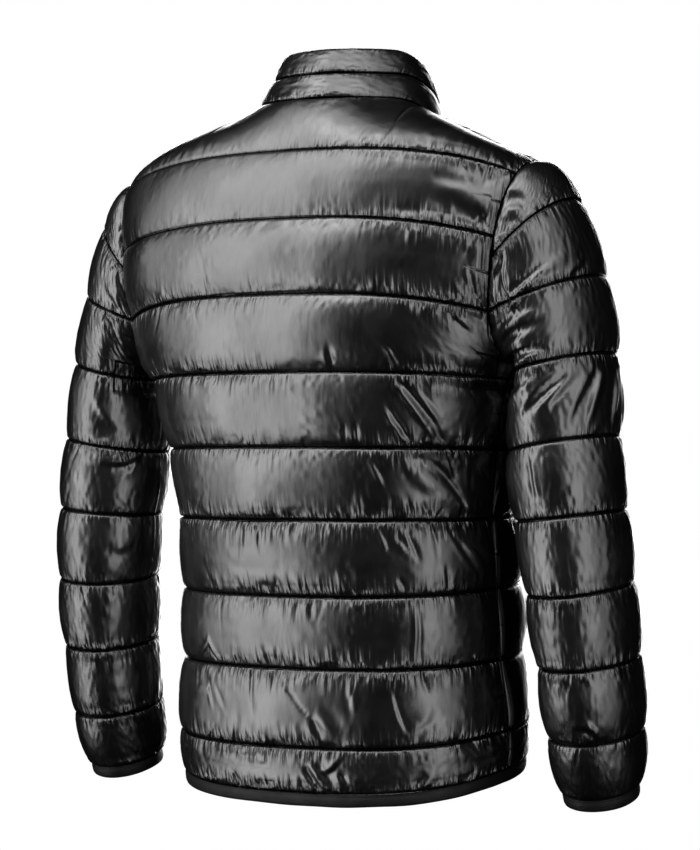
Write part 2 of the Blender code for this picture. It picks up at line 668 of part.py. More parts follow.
def cuff_binding(name, is_left):
    """Binding round a sleeve's end, square to the forearm."""
    turns = np.linspace(0.0, 360.0, SLEEVE_COLUMNS_ROUND + 1)[:-1]
    ring = sleeve_ring(SLEEVE_LINES[-1], turns)
    down = unit(np.cross(ring[6] - ring[18], ring[12] - ring[0]))
    down = down * -np.sign(down[2])
    middle = ring.mean(axis=0)
    outward = ring - middle
    outward = unit(outward - (outward @ down)[:, None] * down)
    path = ring if is_left else mirrored(ring)
    if not is_left:
        outward, down = mirrored(outward), mirrored(down)
    return binding(name, path, outward, down, True)


# ---------------------------------------------------------------- zip
def zip_path():
    """Middle line of the zip from the collar's top edge to the foot of the hem binding."""
    neck = collar_half()[:, -1]
    front = body_half(False)[:, 0]
    foot = front[-1] - np.array([0.0, 0.0, BINDING_HEIGHT + SEAM_GAP / 2.0])
    path = np.concatenate([neck, front[1:], [foot]]) * [0.0, 1.0, 1.0]
    outward = zip_outward(path)
    return path, outward


def ribbon(name, path, outward, inside, outside, thick):
    """Flat strip that follows the zip between two distances from the middle plane."""
    sideways = np.array([1.0, 0.0, 0.0])
    middle = path - outward * WALL / 2.0
    corners = ((inside, 0.5), (outside, 0.5), (outside, -0.5), (inside, -0.5))
    rings = np.stack([middle + sideways * x + outward * (side * thick) for x, side in corners], axis=1)
    faces = []
    for i in range(len(rings) - 1):
        for k in range(4):
            m = (k + 1) % 4
            faces.append((4 * i + k, 4 * i + m, 4 * i + 4 + m, 4 * i + 4 + k))
    faces.append((0, 1, 2, 3))
    faces.append(tuple(4 * (len(rings) - 1) + k for k in range(4)))
    return solid(name, rings.reshape(-1, 3), faces)


def zip_strips():
    """Both tapes and the closed chain between them, which ends under the slider."""
    path, outward = zip_path()
    inside, outside = CHAIN_HALF + SEAM_GAP, ZIP_EDGE - SEAM_GAP
    drop = np.cumsum(np.concatenate([[0.0], np.linalg.norm(np.diff(path, axis=0), axis=1)]))
    start = SLIDER_BELOW_TOP
    k = int(np.searchsorted(drop, start, side="right"))
    share = (start - drop[k - 1]) / (drop[k] - drop[k - 1])
    first = path[k - 1] + (path[k] - path[k - 1]) * share
    first_out = unit(outward[k - 1] * (1 - share) + outward[k] * share)
    chain_path = np.concatenate([[first], path[k:]])
    chain_out = np.concatenate([[first_out], outward[k:]])
    return (ribbon("zip_tape_left", path, outward, inside, outside, TAPE_THICK),
            ribbon("zip_tape_right", path, outward, -outside, -inside, TAPE_THICK),
            ribbon("zip_chain", chain_path, chain_out, -CHAIN_HALF, CHAIN_HALF, CHAIN_THICK))


def slider_frame():
    """Matrix of the slider: X across, Y out of the jacket's front, Z up along the zip."""
    path, outward = zip_path()
    drop = np.cumsum(np.concatenate([[0.0], np.linalg.norm(np.diff(path, axis=0), axis=1)]))
    place = np.array([np.interp(SLIDER_BELOW_TOP, drop, path[:, k]) for k in range(3)])
    out = unit(np.array([np.interp(SLIDER_BELOW_TOP, drop, outward[:, k]) for k in range(3)]))
    place = place - out * WALL / 2.0
    across = np.array([-1.0, 0.0, 0.0])
    up = np.cross(across, out)
    frame = Matrix.Identity(4)
    for row in range(3):
        for column, axis in enumerate((across, out, up, place)):
            frame[row][column] = float(axis[row])
    return frame


def block(bm, x, y, z):
    """Box between the given limits, added to a bmesh."""
    made = bmesh.ops.create_cube(bm, size=1.0)["verts"]
    for v in made:
        v.co = (np.interp(v.co.x, (-0.5, 0.5), x), np.interp(v.co.y, (-0.5, 0.5), y),
                np.interp(v.co.z, (-0.5, 0.5), z))


def rod(bm, radius, half_length, sides=16):
    """Cylinder along X round the local origin, added to a bmesh; returns its vertices."""
    made = bmesh.ops.create_cone(bm, cap_ends=True, segments=sides, radius1=radius, radius2=radius,
                                 depth=2.0 * half_length)["verts"]
    bmesh.ops.rotate(bm, verts=made, matrix=Matrix.Rotation(np.pi / 2.0, 3, "Y"))
    return made


def object_from(name, build, collection):
    """Object whose mesh the function `build` fills in."""
    bm = bmesh.new()
    build(bm)
    mesh = bpy.data.meshes.new(name)
    bmesh.ops.recalc_face_normals(bm, faces=bm.faces)
    bm.to_mesh(mesh)
    bm.free()
    obj = bpy.data.objects.new(name, mesh)
    collection.objects.link(obj)
    return obj


def joined(name, builds, parts, cutters):
    """First shape with the others united to it by Booleans, in the slider's own axes."""
    body = object_from(name, builds[0], parts)
    for k, build in enumerate(builds[1:]):
        tool = object_from(f"{name}_piece_{k + 1}", build, cutters)
        tool.hide_render = True
        tool.display_type = "WIRE"
        union = body.modifiers.new(f"piece_{k + 1}", "BOOLEAN")
        union.operation = "UNION"
        union.object = tool
    return body


def zip_slider(parts, cutters):
    """Slider: two plates, the post that parts the teeth, and two ears with the hinge pin."""
    half, length = SLIDER_WIDTH / 2.0, SLIDER_LENGTH / 2.0
    face = CHAIN_THICK / 2.0 + SEAM_GAP
    top = face + SLIDER_PLATE
    pin = top + PIN_OUT - SLIDER_PLATE
    sink = SLIDER_PLATE / 2.0

    def ears(bm):
        for side in (-1.0, 1.0):
            near, far = sorted((side * EAR_INSIDE, side * (EAR_INSIDE + EAR_THICK)))
            block(bm, (near, far), (top - sink, pin + EAR_HALF_LENGTH),
                  (-EAR_HALF_LENGTH, EAR_HALF_LENGTH))

    def hinge_pin(bm):
        made = rod(bm, PIN_RADIUS, EAR_INSIDE + EAR_THICK / 2.0)
        bmesh.ops.translate(bm, verts=made, vec=(0.0, pin, 0.0))

    builds = [
        lambda bm: block(bm, (-half, half), (face, top), (-length, length)),
        lambda bm: block(bm, (-1.1 * MM, 1.1 * MM), (-face - sink, face + sink),
                         (SEAM_GAP, length - 1.0 * MM)),
        lambda bm: block(bm, (-half, half), (-top, -face), (-length, length)),
        ears,
        hinge_pin,
    ]
    body = joined("zip_slider", builds, parts, cutters)
    return body


def pull_tab(parts, cutters):
    """Pull tab: a knuckle round the slider's pin and a flat tab with rounded end."""
    pin_y = CHAIN_THICK / 2.0 + SEAM_GAP + PIN_OUT
    half_thick = TAB_THICK / 2.0

    def knuckle(bm):
        rod(bm, KNUCKLE_RADIUS, KNUCKLE_HALF)

    def neck(bm):
        block(bm, (-KNUCKLE_HALF, KNUCKLE_HALF), (-half_thick, half_thick),
              (-TAB_NECK - 1.0 * MM, -KNUCKLE_BORE - 0.2 * MM))

    def blade(bm):
        block(bm, (-TAB_HALF_WIDTH, TAB_HALF_WIDTH), (-half_thick, half_thick),
              (-TAB_LENGTH, -TAB_NECK))
        corners = [e for e in bm.edges if abs(e.verts[0].co.y - e.verts[1].co.y) > half_thick]
        bmesh.ops.bevel(bm, geom=corners, offset=2.2 * MM, segments=4, affect="EDGES", profile=0.5)

    def bore(bm):
        rod(bm, KNUCKLE_BORE, KNUCKLE_HALF + 1.0 * MM)

    body = joined("zip_pull", [knuckle, neck, blade], parts, cutters)
    tool = object_from("zip_pull_bore", bore, cutters)
    tool.hide_render = True
    tool.display_type = "WIRE"
    cut = body.modifiers.new("bore", "BOOLEAN")
    cut.operation = "DIFFERENCE"
    cut.object = tool
    return body, pin_y


# ---------------------------------------------------------------- assembly
def material(name, look):
    colour, roughness, metallic = look
    made = bpy.data.materials.new(name)
    made.use_nodes = True
    shader = made.node_tree.nodes["Principled BSDF"]
    shader.inputs["Base Color"].default_value = (*colour, 1.0)
    shader.inputs["Roughness"].default_value = roughness
    shader.inputs["Metallic"].default_value = metallic
    return made


def finish(obj, look, collection):
    """Link an object, give it its material and smooth shading."""
    if obj.name not in collection.objects:
        collection.objects.link(obj)
    obj.data.materials.append(material(obj.name, look))
    obj.data.shade_smooth()
    obj.data.set_sharp_from_angle(angle=np.radians(40.0))


def place_at(frame, offset_y, body, cutters):
    """Put a small part and its hidden tools at the slider, moved out by offset_y."""
    spot = frame @ Matrix.Translation((0.0, offset_y, 0.0))
    body.matrix_world = spot
    for tool in cutters.objects:
        if tool.name.startswith(body.name + "_"):
            tool.matrix_world = spot


def main():
    for obj in list(bpy.data.objects):
        bpy.data.objects.remove(obj, do_unlink=True)
    parts = bpy.data.collections.new("puffer_jacket")
    cutters = bpy.data.collections.new("cutters")
    bpy.context.scene.collection.children.link(parts)
    bpy.context.scene.collection.children.link(cutters)

    finish(back_panel(), BLACK_NYLON, parts)
    finish(front_panel("front_left", True), BLACK_NYLON, parts)
    finish(front_panel("front_right", False), BLACK_NYLON, parts)
    finish(sleeve("sleeve_left", True), BLACK_NYLON, parts)
    finish(sleeve("sleeve_right", False), BLACK_NYLON, parts)
    finish(collar(), BLACK_NYLON, parts)
    finish(hem_binding(), BLACK_BINDING, parts)
    finish(cuff_binding("cuff_binding_left", True), BLACK_BINDING, parts)
    finish(cuff_binding("cuff_binding_right", False), BLACK_BINDING, parts)
    tape_left, tape_right, chain = zip_strips()
    finish(tape_left, BLACK_TAPE, parts)
    finish(tape_right, BLACK_TAPE, parts)
    finish(chain, BLACK_COIL, parts)

    frame = slider_frame()
    slider = zip_slider(parts, cutters)
    finish(slider, DARK_METAL, parts)
    place_at(frame, 0.0, slider, cutters)
    pull, pin_y = pull_tab(parts, cutters)
    finish(pull, DARK_METAL, parts)
    place_at(frame, pin_y, pull, cutters)


main()
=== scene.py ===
"""Looks of the quilted puffer jacket: glossy nylon shells with puckered quilting over the
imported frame, stitching, bindings, the zip, and a pale studio.

Metres, +Z up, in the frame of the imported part: -Y is the jacket's front, +X the wearer's left.
"""

import bmesh
import bpy
import numpy as np
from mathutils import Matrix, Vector


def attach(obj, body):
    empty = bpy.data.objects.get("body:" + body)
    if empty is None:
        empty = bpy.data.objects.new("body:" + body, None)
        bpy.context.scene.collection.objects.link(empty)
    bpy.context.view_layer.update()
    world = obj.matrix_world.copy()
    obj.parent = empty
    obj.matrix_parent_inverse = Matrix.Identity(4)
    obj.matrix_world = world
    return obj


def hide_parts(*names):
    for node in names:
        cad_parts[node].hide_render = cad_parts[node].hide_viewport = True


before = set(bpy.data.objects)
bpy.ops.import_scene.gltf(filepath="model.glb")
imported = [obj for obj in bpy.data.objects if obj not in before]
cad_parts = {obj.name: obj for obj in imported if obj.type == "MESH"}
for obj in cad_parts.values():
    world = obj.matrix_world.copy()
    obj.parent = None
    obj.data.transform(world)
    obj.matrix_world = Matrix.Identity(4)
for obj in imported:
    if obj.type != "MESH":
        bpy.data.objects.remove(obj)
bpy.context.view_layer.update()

# ---------------------------------------------------------------- sizes shared with the cut (metres)
MM = 0.001
WALL = 2.5 * MM              # cloth, filling and lining where they are stitched together
SEAM_GAP = 0.3 * MM          # between two pieces sewn to each other
STEPS = 30                   # grid rows in one baffle
ROW_CROWDING = 0.06          # how much closer the rows lie beside the stitching
ARMPIT_SHARE = 0.75          # place of the armhole's lowest point in its baffle
ROW_SHARES = [k / STEPS - ROW_CROWDING * float(np.sin(2.0 * np.pi * k / STEPS)) for k in range(STEPS)]
ARMPIT_STEP = int(np.argmin(np.abs(np.array(ROW_SHARES) - ARMPIT_SHARE)))
ROW_SHARES[ARMPIT_STEP] = ARMPIT_SHARE
ARMPIT_ROW = 3 * STEPS + ARMPIT_STEP
BODY_FULLNESS = 2.6          # exponent of the body's outline: 2 is an ellipse, more is boxier
ARMHOLE_FULLNESS = 2.3

BODY_PUFF = 0.10             # height of a baffle's crown, as a share of the baffle's own height
YOKE_PUFF = 0.045            # the same where the wearer's shoulders press the filling flat
SECOND_FLAT = 0.75           # the second baffle's height beside a full one
COLLAR_PUFF = 0.13           # as BODY_PUFF, for the collar
SLEEVE_PUFF = 5.0 * MM
UNDERARM_FLAT = 0.2          # share of the quilting's height left where arm and body press it
PUFF_SHAPE = 0.42            # below 1: steep beside the stitching, flat on the crown

# Body, one row for each quilt line: heights at the centre back, side seam and centre front,
# half width, depth behind and in front of the middle, and how far back the side seam lies.
BODY_COLUMNS = ("line", "back_z", "side_z", "front_z", "half_width", "back_y", "front_y", "side_y")
BODY = (
    # line  back_z  side_z  front_z  half_w  back_y front_y side_y   (mm)
    (1.00, -52.0, -77.0, -80.0, 232.0, 115.0, -106.0, 27.0),
    (2.00, -119.0, -138.0, -130.0, 217.0, 133.0, -119.0, 27.0),
    (3.00, -192.0, -210.0, -198.0, 207.0, 140.0, -129.0, 27.0),
    (3.75, -248.0, -257.0, -250.0, 204.0, 139.0, -132.0, 27.0),
    (4.00, -267.0, -274.0, -268.0, 193.0, 138.0, -132.0, 23.0),
    (5.00, -339.0, -341.0, -336.0, 176.0, 131.0, -128.0, 15.0),
    (6.00, -409.0, -408.0, -404.0, 167.0, 125.0, -123.0, 9.0),
    (7.00, -483.0, -476.0, -469.0, 168.0, 118.0, -126.0, 1.0),
    (8.00, -553.0, -545.0, -535.0, 169.0, 114.0, -131.0, -5.0),
    (9.00, -629.0, -614.0, -599.0, 176.0, 116.0, -132.0, -8.0),
    (10.0, -673.0, -652.0, -631.0, 174.0, 113.0, -129.0, -9.0),
)
HEM_LINE = 10.0
ARMPIT_LINE = 3.75           # the armhole's lowest point, between the third and fourth quilt lines

# Armhole: a rounded loop that stands nearly upright beside the body.
ARMHOLE_Y = 29.0 * MM
ARMHOLE_Z = -162.5 * MM
ARMHOLE_HALF_HEIGHT = 94.5 * MM
ARMHOLE_HALF_DEPTH = 60.5 * MM
# (turn round the loop from the shoulder tip in degrees, distance from the middle in mm)
ARMHOLE_X_BACK = ((0, 232.0), (33, 226.0), (80, 214.5), (118, 205.0), (150, 203.5), (180, 204.0))
ARMHOLE_X_FRONT = ((0, 232.0), (39, 222.0), (82, 208.0), (116, 201.0), (150, 202.0), (180, 204.0))
# (quilt line, turn at which it meets the armhole)
ARMHOLE_TURN_BACK = ((0, 0.0), (1, 33.0), (2, 80.0), (3, 118.0), (3.75, 180.0))
ARMHOLE_TURN_FRONT = ((0, 0.0), (1, 39.0), (2, 82.0), (3, 116.0), (3.75, 180.0))

# Shoulder seam from the side of the neck to the shoulder tip: x, y, z in mm.
SHOULDER_SEAM = ((90.0, -5.0, -12.0), (131.0, 12.0, -31.0), (177.0, 22.0, -49.0), (232.0, 29.0, -68.0))

# Collar rings: half width, middle y, half depth, height at the back, drop to the front (mm),
# and the turns between which the ring drops (0 at the centre back, 180 at the centre front).
COLLAR_COLUMNS = ("half_width", "mid_y", "half_depth", "back_z", "drop", "from_turn", "to_turn")
COLLAR = (
    (90.0, -5.0, 91.0, 0.0, 62.0, 55.0, 180.0),        # neck seam
    (82.0, -15.0, 86.0, 26.0, 64.0, 60.0, 180.0),      # quilt line
    (73.5, -21.0, 76.0, 52.0, 64.0, 58.0, 168.0),      # top edge
)

# Sleeve, one row for each quilt line from the armpit down: the ring's middle, half depth, how far
# it reaches out and in, and how much it rises outwards and forwards.
SLEEVE_COLUMNS = ("line", "x", "y", "z", "half_depth", "out", "in", "rise_out", "rise_front")
SLEEVE = (
    # line   x      y      z    depth   out    in    rise_out rise_front
    (4.0, 249.0, 26.0, -263.0, 62.0, 53.0, 29.0, 0.24, 0.00),
    (5.0, 261.0, 34.0, -336.0, 56.0, 50.0, 50.0, 0.16, 0.00),
    (6.0, 270.0, 35.0, -403.0, 52.0, 48.0, 53.0, 0.10, 0.05),
    (7.0, 276.0, 31.0, -471.0, 51.0, 47.0, 49.0, 0.06, 0.16),
    (8.0, 280.0, 20.0, -539.0, 49.0, 45.5, 45.5, 0.03, 0.20),
    (9.0, 280.5, 7.0, -607.0, 46.0, 43.0, 43.0, 0.00, 0.25),
    (10.0, 279.0, -4.0, -661.0, 38.0, 35.5, 35.5, -0.02, 0.28),
)
SLEEVE_LINES = (0.0, 2.25, 3.0, 4.0, 5.0, 6.0, 7.0, 8.0, 9.0, 10.0)
# (row, height of its outermost point in mm) for the rows that end on the armhole
SLEEVE_OUTER_Z = ((0, -68.0), (1.0, -77.0), (2.25, -104.0), (3, -177.0), (3.75, -236.0))
CAP_OUT = 0.66               # how far the sleeve runs straight out of the armhole before it turns
CAP_DOWN = 0.38              # slopes of that run: down, and apart in front and behind
CAP_SPREAD = 0.30
CAP_FORWARD = 0.25           # the cap bulges forwards over the point of the shoulder

# The camera's view, which the studio and the places of the main folds share.
VIEW_AZIMUTH = 212.0         # the camera stands behind the jacket, to its right
VIEW_DISTANCE = 3.0          # metres from the origin, level
VIEW_HEIGHT = -0.337
PIXELS_A_METRE = 1000.0      # at the middle of the jacket
IMAGE_WIDTH, IMAGE_HEIGHT = 700.0, 850.0
HORIZON_BELOW_MIDDLE = 20.0  # pixels
SENSOR_WIDTH = 36.0          # mm

# Grid columns.
FINE = 10                    # grid columns for each one of a plain panel
BACK_NECK_COLUMNS = 5 * FINE        # from the centre back to the side of the neck
FRONT_NECK_COLUMNS = 6 * FINE       # from the zip to the side of the neck
SHOULDER_COLUMNS = 8 * FINE
SLEEVE_COLUMNS_ROUND = 24 * FINE
BACK_NECK_SHARE = 0.30       # share of a back row below the neck
FRONT_NECK_SHARE = 0.27
YOKE_ROUND = 0.5             # how far the top baffle carries on over the shoulder before it falls
YOKE_START = 0.6             # how steeply it leaves the neck, as a share of the slope below
NECK_OUT, NECK_UP = 0.74, 0.67      # direction across the wall at the neck seam
FIRST_RING = 4.0             # quilt line of the sleeve's first full ring
LOOP_TURNS = np.linspace(0.0, 180.0, 181)       # turns at which the armhole is measured
PROBE_TURN = 4.0             # degrees to both sides for a direction along the armhole
BISECTIONS = 30

BINDING_HEIGHT = 12.0 * MM
BINDING_THICK = 3.6 * MM

ZIP_EDGE = 11.0 * MM         # from the middle to the cloth's edge beside the zip
CHAIN_HALF = 2.7 * MM
TAPE_THICK = 1.5 * MM
SLIDER_BELOW_TOP = 9.0 * MM  # its middle below the collar's top edge

BODY_LINES = tuple(np.arange(0.0, HEM_LINE + 1.0))
COLLAR_LINES = (0.0, 1.0, 2.0)

# Cloth between its stitching.
GATHER = 1.05                # cloth cut longer than the line that it is stitched along
CLOTH_FRAMES = 20
FILL_PRESSURE = 12.0
START_UNEVEN = 0.12 * MM     # roughness of the cloth before it is filled
MOVE_CAP = 4.0 * MM          # farthest that the simulation may move a point
YOKE_CALM = 0.5              # share of that movement in the back's first two baffles
SLEEVE_TIP_CALM = 0.26       # width of a sleeve row from which it is gathered in full
DEEPEST = 0.8 * MM           # how far the outside may sink below its stitching, clear of the lining
MERGE_WITHIN = 0.02 * MM     # points nearer than this are one
EDGE_REACH = 3.0 * MM        # how far the cloth takes to rise from a rim or seam
RIM_REACH = 22.0 * MM        # how far the quilting takes to rise from a side seam or armhole
SLEEVE_RIM_REACH = 18.0 * MM
FOLD_RIM = 2.0 * MM          # the same for folds
SWELL, SWELL_SIZE = 0.16, 60.0 * MM          # uneven filling: share of the quilting's height
WAVES, WAVE_SIZE = 0.5 * MM, 34.0 * MM       # slack in the cloth, on quilting of full height
FULL_HEIGHT = 4.0 * MM
PRESSED_ROWS = STEPS * 5 // 8       # rows below the armpit in which arm and body press

# Creases beside the stitching: mean spacing, length, half width and height in mm.
PUCKERS = ((5.5, 9.0, 1.5, 0.9), (12.0, 18.0, 2.0, 1.1))
SIDE_GATHERS = ((6.0, 9.0, 1.5, 0.9), (19.0, 32.0, 2.8, 1.0))
PUCKER_LENGTHS, PUCKER_WIDTHS = 0.50, 0.30      # how much they vary, as lognormal spreads
PUCKER_LEAN, PUCKER_SWAY = 0.28, 5.0
PUCKER_SINK, PUCKER_VARIETY = -0.35, 0.8        # most are sunken: mean and spread of their height
# How strong they are: mean, change from patch to patch, least, most, and the patches' size in mm.
PUCKER_STRENGTH = {
    "back": (0.85, 0.55, -9.0, 9.0, 90.0),
    "front": (0.75, 0.5, 0.2, 1.5, 90.0),
    "sleeve": (0.8, 0.5, 0.2, 1.6, 80.0),
    "collar": (0.5, 0.3, 0.15, 1.0, 60.0),
}
# The back's puckers grow towards its right and its foot and fade in the middle of its yoke: place
# where that starts, distance over which it grows (metres), and how much it adds or takes.
BACK_RIGHT = (0.02, 0.14, 0.55)
BACK_FOOT = (-0.18, 0.25, 0.35)
BACK_YOKE = (-0.20, 0.06, 0.72)
BACK_PLAIN = 0.62            # strength elsewhere
BACK_LEAST, BACK_MOST = 0.12, 1.7
CREASE_REACH = 30.0 * MM     # how far from the stitching the shader's longest creases run
RIPPLE_HEIGHT = 3.6 * MM     # in the shader
# Painted shade: the shader takes the shine away along each stitched line, so every seam shows as a dark
# line.
RAGGED_PITCH = 2.4 * MM      # of the ragged edge of the painted shade along a seam
SEAM_DARK, SEAM_LIGHT = 0.15 * MM, 0.9 * MM     # where the painted shade starts to fade, and where it ends
GROOVE = 0.9 * MM            # how deep the thread draws the cloth in
GROOVE_WIDTH = 1.5 * MM
FOLD_LIMIT = 3.2 * MM        # no main fold is higher or deeper than this
FOLD_FREE = 7.0 * MM         # distance from the stitching at which a main fold has its full height

# Main folds that show.  Their ends were read from the picture: pixel columns and rows from
# its top left corner.  Then come the bow to one side, the half width and the height in mm.  A
# height below 0 is a sunken crease.
FOLD_COLUMNS = ("from_x", "from_y", "to_x", "to_y", "bow", "half_width", "height")
BACK_FOLDS = (
    (436, 432, 392, 380, 2, 2.6, 3.0),
    (403, 383, 444, 446, 1, 2.3, -2.4),
    (440, 425, 415, 388, 1, 1.8, 1.8),
    (385, 403, 412, 443, 0, 2.0, -2.0),
    (409, 446, 387, 413, 0, 2.2, 2.0),
    (457, 510, 403, 463, 2, 6.0, 3.0),
    (448, 493, 413, 460, 1, 1.5, 1.3),
    (426, 458, 467, 515, -2, 2.3, -2.6),
    (462, 510, 431, 462, 1, 2.0, 1.8),
    (447, 529, 478, 581, 2, 2.3, -2.4),
    (482, 577, 457, 537, 2, 3.2, 2.0),
    (407, 532, 418, 560, 0, 1.7, -1.6),
    (387, 552, 377, 527, 1, 1.6, 1.3),
    (412, 558, 393, 540, 2, 2.0, 1.5),
    (460, 373, 442, 362, 1, 2.2, 1.7),
    (357, 422, 360, 440, 0, 1.6, -1.4),
    (345, 422, 348, 439, 0, 1.5, -1.2),
    (385, 487, 370, 458, 1, 1.8, 1.3),
    (365, 516, 357, 490, 0, 2.6, 1.3),
    (408, 502, 412, 519, 0, 1.6, -1.4),
    (420, 503, 430, 521, 0, 1.7, -1.6),
    (448, 459, 453, 480, 0, 1.6, -1.3),
    (467, 468, 467, 493, 0, 1.7, -1.5),
    (483, 480, 472, 466, 0, 2.4, 1.5),
    (473, 513, 462, 502, 0, 2.0, 1.3),
    (352, 590, 340, 570, 0, 2.2, 1.6),
    (397, 577, 408, 592, 0, 1.8, -1.4),
    (443, 563, 447, 589, 0, 1.5, -1.4),
    (414, 666, 414, 602, 1, 1.4, 1.4),
    (218, 710, 198, 690, 1, 3.0, 1.6),
    (220, 685, 230, 709, 0, 1.8, -1.3),
    (313, 718, 325, 739, 0, 2.0, -1.6),
    (340, 735, 320, 710, 1, 2.6, 1.6),
    (395, 690, 408, 735, 2, 1.8, -1.3),
    (350, 680, 360, 710, 0, 2.0, 1.0),
    (408, 728, 432, 710, 2, 2.6, 1.4),
    (233, 768, 245, 784, 0, 1.8, -1.6),
    (250, 782, 277, 779, 3, 2.2, -1.8),
    (305, 765, 322, 792, 0, 2.0, -2.0),
    (332, 790, 310, 760, 0, 2.6, 2.0),
    (322, 772, 345, 755, 1, 2.4, 1.4),
    (340, 770, 350, 785, 0, 1.6, -1.3),
    (410, 790, 425, 772, 0, 2.0, -1.7),
    (417, 791, 437, 770, 1, 2.4, 1.5),
    (430, 180, 503, 197, 2, 4.0, -1.6),
    (445, 167, 508, 187, 1, 3.0, -1.3),
    (430, 195, 500, 214, -2, 5.0, 1.6),
    (450, 210, 496, 229, 1, 3.0, -1.3),
    (467, 255, 490, 249, 1, 3.0, 1.3),
    (445, 305, 472, 327, 2, 2.4, 2.0),
    (460, 309, 485, 322, 1, 2.2, -1.9),
    (467, 268, 475, 299, 0, 1.6, -1.3),
    (478, 275, 484, 302, 0, 1.6, -1.3),
    (397, 367, 384, 345, 1, 1.8, 1.5),
    (330, 345, 335, 365, 0, 2.0, -1.5),
    (205, 655, 225, 662, 1, 2.0, 1.6),
)
SLEEVE_LEFT_FOLDS = (
    (108, 280, 132, 318, 1, 2.4, 1.8),
    (100, 300, 125, 335, 1, 2.4, -1.8),
    (112, 310, 128, 345, 1, 2.2, 1.6),
    (118, 270, 132, 300, 1, 2.0, -1.5),
    (80, 449, 120, 455, 2, 2.4, -1.8),
    (82, 454, 134, 461, -2, 3.4, 2.0),
    (110, 470, 135, 462, 2, 2.4, -1.6),
    (110, 542, 133, 541, 2, 3.0, 1.6),
    (95, 395, 120, 428, 2, 2.6, 1.4),
)
SLEEVE_RIGHT_FOLDS = (
    (505, 317, 565, 255, 3, 2.6, 2.3),
    (515, 311, 558, 265, 2, 1.9, -1.9),
    (560, 290, 585, 260, 1, 1.9, -1.5),
    (502, 335, 540, 310, 2, 2.8, 2.4),
    (505, 340, 545, 320, 2, 2.3, -2.0),
    (507, 352, 542, 330, 2, 2.2, 1.7),
    (510, 370, 545, 351, 2, 2.4, 2.1),
    (508, 362, 540, 343, 2, 2.0, -1.7),
    (505, 407, 540, 380, 2, 2.6, 2.1),
    (525, 417, 565, 375, 2, 2.4, -2.2),
    (535, 415, 570, 378, 2, 2.2, 1.9),
    (550, 412, 580, 372, 2, 2.2, -1.7),
    (570, 425, 595, 368, 2, 2.2, -1.9),
    (585, 425, 600, 367, 2, 2.6, 2.3),
    (610, 427, 612, 371, 1, 2.2, 2.1),
    (620, 425, 619, 382, 1, 1.8, -1.7),
    (496, 280, 507, 260, 0, 2.0, -1.3),
    (504, 202, 522, 195, 0, 2.2, -1.4),
    (505, 215, 522, 207, 0, 2.2, 1.3),
    (530, 455, 537, 500, 0, 2.2, -1.2),
    (597, 735, 583, 722, 0, 2.2, 1.8),
    (575, 728, 596, 733, 1, 2.0, -1.8),
)
# What the widths and heights above are multiplied by: they were judged too small at first.
FOLD_GROWTH = (1.5, 1.15)
SLEEVE_RIGHT_FOLD_GROWTH = (1.28, 1.5)

# Main folds of the hidden fronts: their ends as quilt lines and places across the panel (0 to 1).
HIDDEN_FOLD_COLUMNS = ("from_line", "from_across", "to_line", "to_across", "bow", "half_width", "height")
FRONT_FOLDS = (
    (3.20, 0.960, 3.80, 0.700, 2, 3.9, 2.8),
    (3.40, 0.980, 3.90, 0.820, 1, 3, -2.3),
    (4.15, 0.900, 4.90, 0.690, 2, 3.9, 3),
    (4.20, 0.800, 4.85, 0.640, 1, 3.3, -2.5),
    (5.15, 0.860, 5.90, 0.620, -2, 4.5, 3.2),
    (5.10, 0.700, 5.80, 0.560, 1, 3, -2.3),
    (6.10, 0.900, 6.80, 0.750, 2, 3.6, -2.6),
    (6.30, 0.560, 6.90, 0.500, 0, 2.7, 1.8),
    (7.15, 0.760, 7.70, 0.800, 1, 3, -1.8),
    (8.20, 0.620, 8.85, 0.540, 2, 3.9, 2.5),
    (8.30, 0.350, 8.80, 0.380, 0, 2.7, -1.8),
    (9.25, 0.720, 9.85, 0.640, 2, 3.6, 2.5),
    (9.30, 0.300, 9.80, 0.380, 1, 3, -2),
    (1.20, 0.920, 1.60, 0.560, 2, 6, 1.8),
    (1.50, 0.940, 1.75, 0.620, 1, 4.5, -1.4),
    (2.30, 0.950, 2.70, 0.760, 1, 3.6, 2.1),
)

# Bindings, zip and thread.
# Half a round of the binding: share of its height, and how far out as a share of half its thickness.
BINDING_SECTION = ((0.0, 0.4), (0.14, 0.92), (0.2, 0.7), (0.26, 0.97), (0.5, 1.05), (0.80, 0.88),
                   (0.95, 0.5), (1.0, 0.0), (0.95, -0.5), (0.80, -0.85), (0.35, -1.0), (0.0, -0.6))
# The zip tape's upper face in the same way, from the coil to its outer edge.
TAPE_FACE = ((0.0, 0.9), (0.12, 1.0), (0.2, 0.7), (0.45, 0.66), (0.5, 0.5), (0.55, 0.66),
             (0.9, 0.62), (1.0, 0.3))
STITCH_PITCH = 3.6 * MM
STITCH_LENGTH = 2.5 * MM
THREAD_RADIUS = 0.32 * MM
THREAD_PROUD = 0.10 * MM     # how far a stitch's middle lies above the cloth
COIL_PITCH = 1.4 * MM
COIL_WIRE = 0.36 * MM
COIL_SIDES = 6
COIL_LEAN = 0.45             # how far one turn leans along the zip, as a share of the pitch
# One turn of the coil from its back over the middle to its back: across, and out of the tape (mm).
COIL_TURN = ((2.35, -0.45), (1.2, -0.62), (-0.1, -0.55), (-0.55, 0.0), (-0.1, 0.60), (1.2, 0.66),
             (2.35, 0.45))

